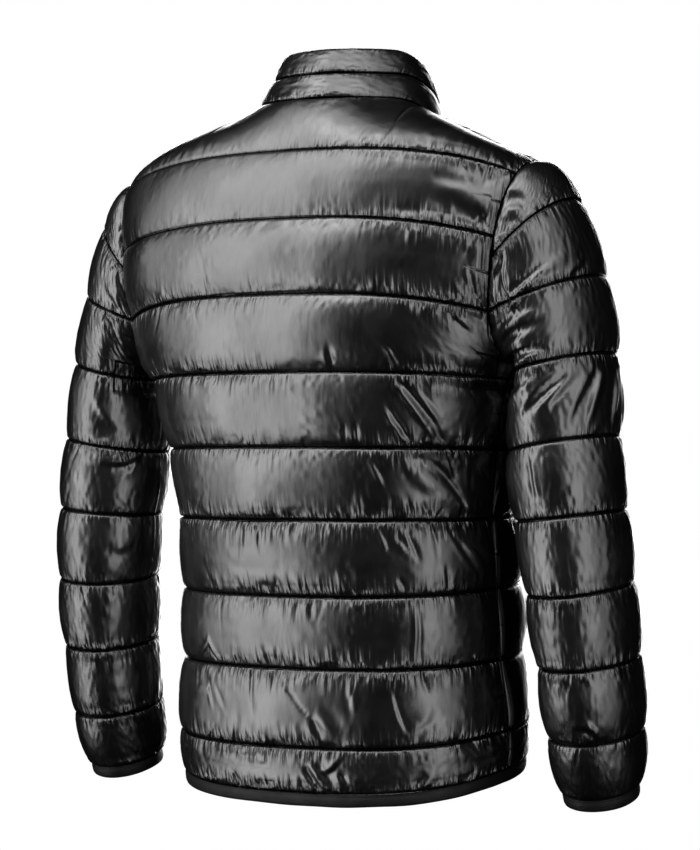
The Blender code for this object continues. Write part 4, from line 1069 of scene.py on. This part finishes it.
# ---------------------------------------------------------------- pieces of the shell
def dressed(sewn, puff, lines, main_folds, seed, strength):
    """Heights of a panel's folds, swelling and stitching over its plain quilting."""
    along, down = measured(sewn)
    rng = np.random.default_rng(seed)
    height = np.zeros(puff.shape)
    quilt_folds(height, along, down, lines, strength, rng)
    away = beside_stitching(sewn, lines)[..., 1]
    place_folds(height, along, down, away, main_folds)
    swell = 1.0 + SWELL * lumps(sewn, SWELL_SIZE, seed + 1)
    waves = WAVES * lumps(sewn, WAVE_SIZE, seed + 2) * np.clip(puff / FULL_HEIGHT, 0.0, 1.0)
    groove = GROOVE * np.exp(-(away / GROOVE_WIDTH) ** 2)
    return height + puff * (swell - 1.0) + waves - groove


def both_halves(grid):
    """Points or directions of a whole panel from those of its left half."""
    return np.concatenate([mirrored(grid[:, :0:-1]), grid], axis=1)


def both_heights(values):
    """Heights of a whole panel from those of its left half."""
    return np.concatenate([values[:, :0:-1], values], axis=1)


def rim_ease(sewn, left=True, right=True, top=True, bottom=True, reach=RIM_REACH):
    """0 on a panel's sewn rims, 1 inside them."""
    along, down = measured(sewn)
    ease = np.ones(sewn.shape[:2])
    if left:
        ease *= edge_ease(along - along[:, :1], reach)
    if right:
        ease *= edge_ease(along[:, -1:] - along, reach)
    if top:
        ease *= edge_ease(down - down[:1], EDGE_REACH)
    if bottom:
        ease *= edge_ease(down[-1:] - down, EDGE_REACH)
    return ease


def quilt_paths(sewn, normals, lines):
    """Each inner quilt line of a panel, with the direction out of the cloth along it."""
    rows = [row_at(line) for line in lines[1:-1]]
    return [(sewn[row] - GROOVE * normals[row], normals[row]) for row in rows]


def finished(node, sewn, normals, outer, lines, strength, side_seams=False, tube_from=None):
    """The closed shell of a panel, its quilt lines noted for the thread."""
    STITCHED[node] = quilt_paths(sewn, normals, lines)
    beside = beside_stitching(sewn, lines)
    if side_seams:
        beside = seams_too(beside)
    return shell(node + "_shell", outer, sewn - normals * WALL, beside, strength, tube_from)


def back_shell():
    """The back: ten baffles from the neck and shoulder seams to the hem."""
    sewn, normals, puff = panel_surface(True)
    sewn, normals, puff = both_halves(sewn), both_halves(normals), both_heights(puff)
    puff = puff * rim_ease(sewn, top=False, bottom=False)
    along, down = measured(sewn)
    strength = back_strength(sewn)
    main_folds = seen_folds(BACK_FOLDS, sewn, normals, FOLD_GROWTH)
    folds = dressed(sewn, puff, BODY_LINES, main_folds, 11, strength)
    folds += side_gathers(along, down, 17)
    height = puff + folds * rim_ease(sewn, reach=FOLD_RIM)
    move = settled(sewn, normals, puff, BODY_LINES, 12)
    move[:2 * STEPS] *= YOKE_CALM
    outer = covered(sewn, normals, height, move)
    return finished("back", sewn, normals, outer, BODY_LINES, strength, side_seams=True)


def pucker_strength(panel, sewn, seed):
    """How strongly a panel puckers, by patches."""
    mean, change, least, most, size = PUCKER_STRENGTH[panel]
    return np.clip(mean + change * lumps(sewn, size * MM, seed), least, most)


def back_strength(sewn):
    """How strongly the back puckers: most at its right and foot, least in the middle of its yoke."""
    (right_from, right_over, right_more), (foot_from, foot_over, foot_more) = BACK_RIGHT, BACK_FOOT
    yoke_from, yoke_over, yoke_less = BACK_YOKE
    right = smooth_step((right_from - sewn[..., 0]) / right_over)
    low = smooth_step((foot_from - sewn[..., 2]) / foot_over)
    yoke = 1.0 - yoke_less * smooth_step((sewn[..., 2] - yoke_from) / yoke_over) * (1.0 - right)
    place = BACK_PLAIN + right_more * right + foot_more * low
    return np.clip(pucker_strength("back", sewn, 5) * place * yoke, BACK_LEAST, BACK_MOST)


def side_gathers(along, down, seed):
    """Gathers along both armhole seams, square to them."""
    height = np.zeros(along.shape)
    armpit = ARMPIT_ROW
    rng = np.random.default_rng(seed)
    for side in (0, -1):
        away = np.abs(along[:armpit] - along[:armpit, side][:, None])
        view = height[:armpit]
        ones = np.ones(away.shape)
        for spacing, reach, half, lift in SIDE_GATHERS:
            puckers(view, down[:armpit], away, ones, rng,
                    spacing * MM, reach * MM, half * MM, lift * MM)
    return height


def front_shell(node, is_left, seed):
    """One front, from the zip to the side seam and armhole."""
    sewn, normals, puff = panel_surface(False)
    if not is_left:
        sewn, normals = mirrored(sewn), mirrored(normals)
    puff = puff * rim_ease(sewn, top=False, bottom=False)
    strength = pucker_strength("front", sewn, seed)
    main_folds = hidden_folds(FRONT_FOLDS, sewn.shape[1])
    folds = dressed(sewn, puff, BODY_LINES, main_folds, seed, strength)
    height = puff + folds * rim_ease(sewn, reach=FOLD_RIM)
    outer = covered(sewn, normals, height, settled(sewn, normals, puff, BODY_LINES, seed + 1))
    return finished(node, sewn, normals, outer, BODY_LINES, strength, side_seams=True)


def sleeve_shell(node, is_left, table, growth, seed):
    """One sleeve: open beside the armhole, and a tube with its seam at the underarm below it."""
    base = sleeve_rows()
    armpit = ARMPIT_ROW
    normals = -grid_normals(base, wrap_from=armpit)
    for i in range(armpit + 1):
        normals[i, 0] = armhole_outward(LINES[i], True)
        normals[i, -1] = armhole_outward(LINES[i], False)
    normals[0] = normals[0, 0]
    sewn = base.copy()
    sewn[0, :, 0] += SEAM_GAP / 2.0
    sewn[1:armpit + 1, 0, 0] += SEAM_GAP / 2.0
    sewn[1:armpit + 1, -1, 0] += SEAM_GAP / 2.0
    puff = np.full(base.shape[:2], SLEEVE_PUFF)
    puff *= crowns(len(base), SLEEVE_LINES)
    ease = rim_ease(sewn, top=False, bottom=False, reach=SLEEVE_RIM_REACH)
    ease[armpit:] = 1.0
    puff = puff * ease
    pressed = SLEEVE_COLUMNS_ROUND // 6
    for columns in (slice(pressed), slice(-pressed, None)):
        puff[armpit:armpit + PRESSED_ROWS, columns] *= UNDERARM_FLAT
    if not is_left:
        sewn, normals = mirrored(sewn), mirrored(normals)
    along, down = measured(sewn)
    open_width = smooth_step((along[:, -1:] - along[:, :1]) / SLEEVE_TIP_CALM)
    strength = pucker_strength("sleeve", sewn, seed) * open_width
    main_folds = seen_folds(table, sewn, normals, growth)
    folds = dressed(sewn, puff, SLEEVE_LINES, main_folds, seed, strength)
    folds += side_gathers(along, down, seed + 9) * open_width
    seam_turn = np.minimum(along - along[:, :1], along[:, -1:] - along)
    folds[armpit:] *= edge_ease(seam_turn[armpit:], EDGE_REACH)
    rim = rim_ease(sewn, reach=FOLD_RIM)
    rim[armpit:] = rim_ease(sewn, left=False, right=False)[armpit:]
    height = puff + folds * rim
    height[:, -1] = np.where(np.arange(len(height)) >= armpit, height[:, 0], height[:, -1])
    move = settled(sewn, normals, puff, SLEEVE_LINES, seed + 1) * open_width[..., None]
    outer = covered(sewn, normals, height, move)
    outer[armpit:, -1] = outer[armpit:, 0]
    return finished(node, sewn, normals, outer, SLEEVE_LINES, strength, tube_from=armpit)


def collar_shell():
    """The stand collar: two baffles, open at the zip."""
    base = collar_half()
    normals = -grid_normals(base)
    normals[:, 0] = unit(normals[:, 0] * [0.0, 1.0, 1.0])
    normals[:, -1] = zip_outward(base[:, -1])
    out, up = neck_outward(collar_turns(0))
    normals[-1] = out
    sewn = base.copy()
    sewn[-1] += up * SEAM_GAP / 2.0
    puff = baffle_heights(base) * COLLAR_PUFF
    puff *= crowns(len(base), COLLAR_LINES)
    sewn, normals, puff = both_halves(sewn), both_halves(normals), both_heights(puff)
    puff = puff * rim_ease(sewn, top=False, bottom=False)
    strength = pucker_strength("collar", sewn, 71)
    folds = dressed(sewn, puff, COLLAR_LINES, (), 73, strength)
    height = puff + folds * rim_ease(sewn, reach=FOLD_RIM)
    outer = covered(sewn, normals, height, settled(sewn, normals, puff, COLLAR_LINES, 75))
    return finished("collar", sewn, normals, outer, COLLAR_LINES, strength)


# ---------------------------------------------------------------- materials
def new_material(name, colour):
    """A material with its nodes, links and shader."""
    made = bpy.data.materials.new(name)
    made.use_nodes = True
    shader = made.node_tree.nodes["Principled BSDF"]
    shader.inputs["Base Color"].default_value = (*colour, 1.0)
    return made, made.node_tree.nodes, made.node_tree.links, shader


def varied_material(name, colour, grain, smoothest, roughest):
    """The same with its object coordinates, its roughness wandering in patches of a grain."""
    made, nodes, links, shader = new_material(name, colour)
    coords = nodes.new("ShaderNodeTexCoord").outputs["Object"]
    rough = spread(nodes, links, noise(nodes, links, coords, grain), smoothest, roughest)
    links.new(rough, shader.inputs["Roughness"])
    return made, nodes, links, shader, coords


def noise(nodes, links, coords, scale, detail=3.0, stretch=(1.0, 1.0, 1.0)):
    """Noise from 0 to 1 over stretched coordinates."""
    mapping = nodes.new("ShaderNodeMapping")
    mapping.inputs["Scale"].default_value = stretch
    links.new(coords, mapping.inputs["Vector"])
    texture = nodes.new("ShaderNodeTexNoise")
    texture.inputs["Scale"].default_value = scale
    texture.inputs["Detail"].default_value = detail
    links.new(mapping.outputs["Vector"], texture.inputs["Vector"])
    return texture.outputs["Fac"]


def spread(nodes, links, value, low, high):
    """The value mapped from 0.3..0.7 to low..high."""
    ramp = nodes.new("ShaderNodeMapRange")
    for socket, number in zip(("From Min", "From Max", "To Min", "To Max"), (0.3, 0.7, low, high)):
        ramp.inputs[socket].default_value = number
    links.new(value, ramp.inputs["Value"])
    return ramp.outputs["Result"]


def bump(nodes, links, height, distance, strength=1.0, under=None):
    """Normals raised by a height of 0 to 1, on top of those of another bump."""
    made = nodes.new("ShaderNodeBump")
    made.inputs["Distance"].default_value = distance
    made.inputs["Strength"].default_value = strength
    links.new(height, made.inputs["Height"])
    if under is not None:
        links.new(under, made.inputs["Normal"])
    return made.outputs["Normal"]


def fade(nodes, links, value, start, end):
    """0 below `start` and 1 above `end`, or the other way round where end is less."""
    low, high = (start, end) if start < end else (end, start)
    ramp = nodes.new("ShaderNodeMapRange")
    ramp.interpolation_type = "SMOOTHSTEP"
    numbers = (low, high, 0.0, 1.0) if start < end else (low, high, 1.0, 0.0)
    for socket, number in zip(("From Min", "From Max", "To Min", "To Max"), numbers):
        ramp.inputs[socket].default_value = number
    links.new(value, ramp.inputs["Value"])
    return ramp.outputs["Result"]


def constant(nodes, number):
    """A number as a node's output."""
    made = nodes.new("ShaderNodeValue")
    made.outputs[0].default_value = number
    return made.outputs[0]


def product(nodes, links, *values):
    """The outputs of several nodes multiplied together."""
    total = values[0]
    for value in values[1:]:
        made = nodes.new("ShaderNodeMath")
        made.operation = "MULTIPLY"
        links.new(total, made.inputs[0])
        links.new(value, made.inputs[1])
        total = made.outputs[0]
    return total


def sewn_ripples(nodes, links, beside, gather, pitch, reach, slant):
    """Fine creases square to the stitching, one each `pitch` or so, that die out at `reach`."""
    parts = nodes.new("ShaderNodeSeparateXYZ")
    links.new(beside, parts.inputs["Vector"])
    away = parts.outputs["Y"]
    ripple = noise(nodes, links, beside, 1.0, 1.5, (1.0 / pitch, slant / pitch, 7.3))
    leaves = fade(nodes, links, away, 0.3 * MM, 1.8 * MM)
    near = product(nodes, links, leaves, fade(nodes, links, away, reach, 0.0))
    patch = fade(nodes, links, noise(nodes, links, beside, 1.0, 1.0, (30.0, 30.0, 3.1)), 0.22, 0.55)
    return product(nodes, links, ripple, near, patch, gather)


def painted_seam_shade(nodes, links, beside):
    """Painted shade along a seam: 0 on the stitched line, where the shine is taken away, and 1 beside it,
    with a ragged edge that stands in for small creases.
    """
    parts = nodes.new("ShaderNodeSeparateXYZ")
    links.new(beside, parts.inputs["Vector"])
    ragged = noise(nodes, links, beside, 1.0, 1.5, (1.0 / RAGGED_PITCH, 0.1 / RAGGED_PITCH, 5.1))
    return fade(nodes, links, product(nodes, links, parts.outputs["Y"], ragged), SEAM_DARK, SEAM_LIGHT)


def nylon():
    """Black coated nylon: wet shine, fine weave, creases drawn in by the stitching, and painted shade along
    the stitched lines.
    """
    made, nodes, links, shader, coords = varied_material(
        "coated_nylon", (0.0009, 0.0009, 0.001), grain=26.0, smoothest=0.29, roughest=0.38)
    stitch = nodes.new("ShaderNodeAttribute")
    stitch.attribute_name = "stitch"
    beside = stitch.outputs["Vector"]
    drawn = nodes.new("ShaderNodeAttribute")
    drawn.attribute_name = "gather"
    gather = drawn.outputs["Fac"]
    shader.inputs["IOR"].default_value = 1.65
    shader.inputs["Coat Roughness"].default_value = 0.2
    # Painted shade: the specular and coat are taken away along each stitched line, so the seams show darker.
    outside_seam_shade = painted_seam_shade(nodes, links, beside)
    for level, socket in ((0.5, "Specular IOR Level"), (0.25, "Coat Weight")):
        links.new(product(nodes, links, outside_seam_shade, constant(nodes, level)), shader.inputs[socket])
    short = bump(nodes, links, sewn_ripples(nodes, links, beside, gather, pitch=3.2 * MM,
                                            reach=12.0 * MM, slant=0.12), RIPPLE_HEIGHT)
    long = bump(nodes, links, sewn_ripples(nodes, links, beside, gather, pitch=7.0 * MM,
                                           reach=CREASE_REACH, slant=0.10), RIPPLE_HEIGHT, under=short)
    slack = noise(nodes, links, coords, 120.0, detail=2.0, stretch=(1.0, 1.0, 0.35))
    crinkle = bump(nodes, links, slack, 0.5 * MM, strength=0.5, under=long)
    threads = noise(nodes, links, coords, 1500.0, detail=1.0)
    weave = bump(nodes, links, threads, 0.08 * MM, strength=0.5, under=crinkle)
    links.new(weave, shader.inputs["Normal"])
    return made


def lining():
    """Plain black taffeta."""
    made, nodes, links, shader, coords = varied_material(
        "taffeta_lining", (0.003, 0.003, 0.0034), grain=40.0, smoothest=0.42, roughest=0.55)
    slack = bump(nodes, links, noise(nodes, links, coords, 120.0), 0.8 * MM, 0.4)
    links.new(slack, shader.inputs["Normal"])
    return made


# ---------------------------------------------------------------- bindings, zip and stitching
def mesh_object(name, points, faces):
    """A smooth object from points and faces, its faces turned outwards."""
    mesh = bpy.data.meshes.new(name)
    mesh.from_pydata(np.asarray(points).reshape(-1, 3).tolist(), [], faces)
    bm = bmesh.new()
    bm.from_mesh(mesh)
    bmesh.ops.recalc_face_normals(bm, faces=bm.faces)
    bm.to_mesh(mesh)
    bm.free()
    mesh.shade_smooth()
    return placed(name, mesh)


def swept(name, rings, closed):
    """Closed body through rings of points, its ends capped unless it runs round."""
    count, around = rings.shape[:2]
    faces = []
    for i in range(count if closed else count - 1):
        j = (i + 1) % count
        for k in range(around):
            m = (k + 1) % around
            faces.append((i * around + k, i * around + m, j * around + m, j * around + k))
    if not closed:
        faces.append(tuple(range(around)))
        faces.append(tuple((count - 1) * around + k for k in range(around)))
    return mesh_object(name, rings, faces)


def resampled(path, pitch, closed=False, start=0.0):
    """Points at an even pitch along a path, and how far along it each one lies."""
    if closed:
        path = np.concatenate([path, path[:1]])
    length = lengths(path)
    count = max(2, int(round((length[-1] - start) / pitch)))
    where = start + (length[-1] - start) * np.arange(count if closed else count + 1) / count
    return read_at(where, length, path), where, length


def binding(name, path, outward, down, closed, seed):
    """Folded stretch tape along an edge, drawn in a little by its own stitching."""
    points, where, length = resampled(path, 2.0 * MM, closed)
    source = np.concatenate([outward, outward[:1]]) if closed else outward
    out = unit(read_at(where, length, source))
    wave = lumps(points, 9.0 * MM, seed)
    sag = lumps(points, 30.0 * MM, seed + 1)
    middle = points - out * WALL / 2.0 + down * SEAM_GAP / 2.0
    rings = []
    for drop, side in BINDING_SECTION:
        near = np.exp(-((drop - 0.2) / 0.25) ** 2)
        swell = side * BINDING_THICK / 2.0 * (1.0 + 0.16 * wave * near)
        fall = drop * (BINDING_HEIGHT + 0.35 * MM * sag * drop)
        rings.append(middle + down * fall[:, None] + out * swell[:, None])
    return swept(name, np.stack(rings, axis=1), closed)


def hem_binding():
    """The tape round the foot of the jacket, from zip to zip."""
    front, back = body_half(False), body_half(True)
    path = np.concatenate([front[-1], back[-1, -2:0:-1]])
    path = np.concatenate([path, [back[-1, 0]], mirrored(path[::-1])])
    outward = unit(np.cross(np.gradient(path, axis=0), [0.0, 0.0, 1.0]))
    return binding("hem_tape", path, outward, np.array([0.0, 0.0, -1.0]), False, 91)


def cuff_binding(name, is_left, seed):
    """The tape round one sleeve's end."""
    turns = np.linspace(0.0, 360.0, SLEEVE_COLUMNS_ROUND + 1)[:-1]
    ring = sleeve_ring(SLEEVE_LINES[-1], turns)
    quarter = SLEEVE_COLUMNS_ROUND // 4
    down = unit(np.cross(ring[quarter] - ring[3 * quarter], ring[2 * quarter] - ring[0]))
    down = down * -np.sign(down[2])
    outward = ring - ring.mean(axis=0)
    outward = unit(outward - (outward @ down)[:, None] * down)
    if not is_left:
        ring, outward, down = mirrored(ring), mirrored(outward), mirrored(down)
    return binding(name, ring, outward, down, True, seed)


def zip_path():
    """Middle line of the zip from the collar's top edge to the foot of the hem binding."""
    neck = collar_half()[:, -1]
    front = body_half(False)[:, 0]
    foot = front[-1] - np.array([0.0, 0.0, BINDING_HEIGHT + SEAM_GAP / 2.0])
    path = np.concatenate([neck, front[1:], [foot]]) * [0.0, 1.0, 1.0]
    return path, zip_outward(path)


def even_zip(pitch, start=0.0):
    """Points at an even pitch along the zip, in the middle of the wall, and its outward direction."""
    path, outward = zip_path()
    points, where, length = resampled(path, pitch, start=start)
    out = unit(read_at(where, length, outward))
    return points - out * WALL / 2.0, out


def zip_tape(name, side):
    """Woven tape with a thicker cord along the coil and two rows of stitching pressed in."""
    middle, out = even_zip(3.0 * MM)
    inside, outside = CHAIN_HALF + SEAM_GAP, ZIP_EDGE - SEAM_GAP
    section = TAPE_FACE + tuple((share, -height) for share, height in TAPE_FACE[::-1])
    rings = [middle + np.array([side * (inside + (outside - inside) * share), 0.0, 0.0]) +
             out * (height * TAPE_THICK / 2.0) for share, height in section]
    return swept(name, np.stack(rings, axis=1), False)


def zip_coil():
    """Turns of the coil on both tapes, each hooked between two of the other side."""
    points, faces = [], []
    for side, shift in ((1.0, 0.0), (-1.0, 0.5)):
        middle, out = even_zip(COIL_PITCH, SLIDER_BELOW_TOP + shift * COIL_PITCH)
        middle, out = middle[1:-1], out[1:-1]
        along = unit(np.gradient(middle, axis=0))
        turn = np.array(COIL_TURN) * MM
        way = unit(np.gradient(turn, axis=0))
        for k, (across, rise) in enumerate(turn):
            lean = (k / (len(turn) - 1.0) - 0.5) * COIL_LEAN * COIL_PITCH
            centre = middle + np.array([side * across, 0.0, 0.0]) + out * rise + along * lean
            normal = np.array([side * -way[k, 1], 0.0, 0.0]) + out * way[k, 0]
            for m in range(COIL_SIDES):
                a = 2.0 * np.pi * m / COIL_SIDES
                points.append(centre + COIL_WIRE * (normal * np.cos(a) + along * np.sin(a)))
        count = len(middle)
        start = sum(len(p) for p in points) - count * len(turn) * COIL_SIDES
        for i in range(count):
            def at(k, m):
                """Number of a point of this turn's wire."""
                return start + (k * COIL_SIDES + m % COIL_SIDES) * count + i
            for k in range(len(turn) - 1):
                for m in range(COIL_SIDES):
                    faces.append((at(k, m), at(k, m + 1), at(k + 1, m + 1), at(k + 1, m)))
            faces.append(tuple(at(0, m) for m in range(COIL_SIDES)))
            faces.append(tuple(at(len(turn) - 1, m) for m in range(COIL_SIDES)))
    return mesh_object("zip_coil", np.concatenate(points), faces)


def stitches(name, paths):
    """Thread that shows along quilt lines: short spindles half sunk in the cloth."""
    points, faces = [], []
    for path, outward in paths:
        middle, where, length = resampled(path, STITCH_PITCH)
        out = unit(read_at(where, length, outward))
        along = unit(np.gradient(middle, axis=0))
        side = np.cross(along, out)
        middle = middle[1:-1] + out[1:-1] * THREAD_PROUD
        along = along[1:-1] * STITCH_LENGTH / 2.0
        out, side = out[1:-1] * THREAD_RADIUS, side[1:-1] * THREAD_RADIUS
        spindle = np.stack([middle - along, middle - 0.6 * along + out, middle - 0.6 * along + side,
                            middle - 0.6 * along - out, middle - 0.6 * along - side,
                            middle + 0.6 * along + out, middle + 0.6 * along + side,
                            middle + 0.6 * along - out, middle + 0.6 * along - side, middle + along], axis=1)
        for stitch in spindle:
            n = 10 * len(points)
            points.append(stitch)
            for k in range(4):
                m = (k + 1) % 4
                faces.append((n, n + 1 + k, n + 1 + m))
                faces.append((n + 1 + k, n + 5 + k, n + 5 + m, n + 1 + m))
                faces.append((n + 9, n + 5 + m, n + 5 + k))
    return mesh_object(name, np.concatenate(points), faces)


def tape_cloth():
    """Matt ribbed stretch tape and woven zip tape."""
    made, nodes, links, shader, coords = varied_material(
        "ribbed_tape", (0.0012, 0.0012, 0.0014), grain=60.0, smoothest=0.50, roughest=0.68)
    shader.inputs["IOR"].default_value = 1.35
    ribs = nodes.new("ShaderNodeTexWave")
    ribs.bands_direction = "Z"
    ribs.inputs["Scale"].default_value = 420.0
    ribs.inputs["Distortion"].default_value = 1.2
    links.new(coords, ribs.inputs["Vector"])
    rib = bump(nodes, links, ribs.outputs["Fac"], 0.15 * MM, 0.6)
    weave = bump(nodes, links, noise(nodes, links, coords, 900.0, 2.0), 0.15 * MM, 0.6, rib)
    links.new(weave, shader.inputs["Normal"])
    return made


def thread():
    """Matt black sewing thread."""
    made, nodes, links, shader, coords = varied_material(
        "sewing_thread", (0.004, 0.004, 0.005), grain=400.0, smoothest=0.55, roughest=0.70)
    shader.inputs["IOR"].default_value = 1.3
    twist = bump(nodes, links, noise(nodes, links, coords, 2500.0), 0.08 * MM)
    links.new(twist, shader.inputs["Normal"])
    return made


def coil_plastic():
    """Smooth black plastic."""
    return varied_material(
        "coil_plastic", (0.02, 0.02, 0.022), grain=300.0, smoothest=0.22, roughest=0.34)[0]


def zip_metal():
    """Dark plated metal, a little worn."""
    made, nodes, links, shader, coords = varied_material(
        "dark_metal", (0.22, 0.22, 0.23), grain=220.0, smoothest=0.24, roughest=0.42)
    shader.inputs["Metallic"].default_value = 1.0
    scratches = noise(nodes, links, coords, 900.0, 4.0, (1.0, 1.0, 0.15))
    links.new(bump(nodes, links, scratches, 0.02 * MM, 0.6), shader.inputs["Normal"])
    return made


def give(obj, *materials):
    """Replaces an object's materials."""
    obj.data.materials.clear()
    for made in materials:
        obj.data.materials.append(made)


# ---------------------------------------------------------------- studio
def place_camera():
    """The picture's camera."""
    toward = Vector(view_axes()[0])
    camera = placed("camera", bpy.data.cameras.new("camera"))
    camera.location = toward * VIEW_DISTANCE + Vector((0.0, 0.0, VIEW_HEIGHT))
    camera.rotation_mode = "QUATERNION"
    camera.rotation_quaternion = (-toward).to_track_quat("-Z", "Y")
    camera.data.sensor_width = SENSOR_WIDTH
    camera.data.lens = PIXELS_A_METRE * VIEW_DISTANCE * SENSOR_WIDTH / IMAGE_HEIGHT
    camera.data.shift_y = HORIZON_BELOW_MIDDLE / IMAGE_HEIGHT
    bpy.context.scene.camera = camera


def softbox(name, turn, distance, height, width, tall, power):
    """Soft light at a turn in degrees from the camera, towards the picture's right."""
    toward, right = (Vector(axis) for axis in view_axes())
    t = np.radians(turn)
    place = (toward * np.cos(t) + right * np.sin(t)) * distance + Vector((0.0, 0.0, height))
    data = bpy.data.lights.new(name, "AREA")
    data.shape = "RECTANGLE"
    data.size, data.size_y, data.energy = width, tall, power
    lamp = placed(name, data)
    lamp.location = place
    lamp.rotation_mode = "QUATERNION"
    lamp.rotation_quaternion = (place - Vector((0.0, 0.0, LIGHTS_AIM))).to_track_quat("Z", "Y")
    lamp.visible_camera = False


def pale_world():
    """White behind the jacket for the camera, nearly dark for its reflections."""
    world = bpy.data.worlds.new("studio")
    bpy.context.scene.world = world
    world.use_nodes = True
    nodes, links = world.node_tree.nodes, world.node_tree.links
    dim, bright = nodes["Background"], nodes.new("ShaderNodeBackground")
    for background, strength in ((dim, 0.004), (bright, 1.0)):
        background.inputs["Color"].default_value = (1.0, 1.0, 1.0, 1.0)
        background.inputs["Strength"].default_value = strength
    mix, path = nodes.new("ShaderNodeMixShader"), nodes.new("ShaderNodeLightPath")
    links.new(path.outputs["Is Camera Ray"], mix.inputs["Fac"])
    links.new(dim.outputs[0], mix.inputs[1])
    links.new(bright.outputs[0], mix.inputs[2])
    links.new(mix.outputs[0], nodes["World Output"].inputs["Surface"])


def pale_floor():
    """A white disc below the jacket that only the camera sees."""
    floor_mesh = bpy.data.meshes.new("floor")
    bm = bmesh.new()
    bmesh.ops.create_circle(bm, cap_ends=True, segments=96, radius=FLOOR_RADIUS)
    bm.to_mesh(floor_mesh)
    bm.free()
    floor = placed("floor", floor_mesh)
    floor.location = (0.0, 0.0, FLOOR_HEIGHT)
    pale, _, _, shader = new_material("pale_floor", (0.86, 0.86, 0.86))
    shader.inputs["Emission Color"].default_value = (1.0, 1.0, 1.0, 1.0)
    shader.inputs["Emission Strength"].default_value = 0.65
    shader.inputs["Roughness"].default_value = 0.8
    give(floor, pale)
    floor.visible_glossy = False
    floor.visible_shadow = False
    floor.visible_diffuse = False


def studio():
    """Camera, soft lights, background and floor."""
    place_camera()
    for light in SOFTBOXES:
        softbox(*light)
    bpy.context.scene.view_settings.gamma = GAMMA
    bpy.context.scene.view_settings.view_transform = "Standard"
    pale_world()
    pale_floor()


# ---------------------------------------------------------------- assembly
def dress(piece, node, slot, *materials):
    """Puts a piece on the jacket in place of its plain solid."""
    give(piece, *materials)
    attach(piece, "jacket")
    if node:
        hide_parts(node)


shell_cloth, inside_cloth = nylon(), lining()
tape, cotton, coil_look, metal = tape_cloth(), thread(), coil_plastic(), zip_metal()
STITCHED, SHELLS, SEWING = {}, {}, {}
back = back_shell()
front_left = front_shell("front_left", True, 31)
front_right = front_shell("front_right", False, 37)
sleeve_left = sleeve_shell("sleeve_left", True, SLEEVE_LEFT_FOLDS, FOLD_GROWTH, 41)
sleeve_right = sleeve_shell("sleeve_right", False, SLEEVE_RIGHT_FOLDS, SLEEVE_RIGHT_FOLD_GROWTH, 53)
collar = collar_shell()
for piece, node in ((back, "back"), (front_left, "front_left"), (front_right, "front_right"),
                    (sleeve_left, "sleeve_left"), (sleeve_right, "sleeve_right"), (collar, "collar")):
    dress(piece, node, "shell", shell_cloth, inside_cloth)
    sewing = stitches(node + "_stitches", STITCHED[node])
    SHELLS[node], SEWING[node] = piece, sewing
    dress(sewing, None, "shell", cotton)
hem = hem_binding()
cuff_left = cuff_binding("cuff_tape_left", True, 93)
cuff_right = cuff_binding("cuff_tape_right", False, 95)
for piece, node in ((hem, "hem_binding"), (cuff_left, "cuff_binding_left"),
                    (cuff_right, "cuff_binding_right")):
    dress(piece, node, "binding", tape)
tape_left, tape_right = zip_tape("zip_woven_left", 1.0), zip_tape("zip_woven_right", -1.0)
dress(tape_left, "zip_tape_left", "zip_tape", tape)
dress(tape_right, "zip_tape_right", "zip_tape", tape)
dress(zip_coil(), "zip_chain", "zip_coil", coil_look)
for node in ("zip_slider", "zip_pull"):
    give(bpy.data.objects[node], metal)

studio()
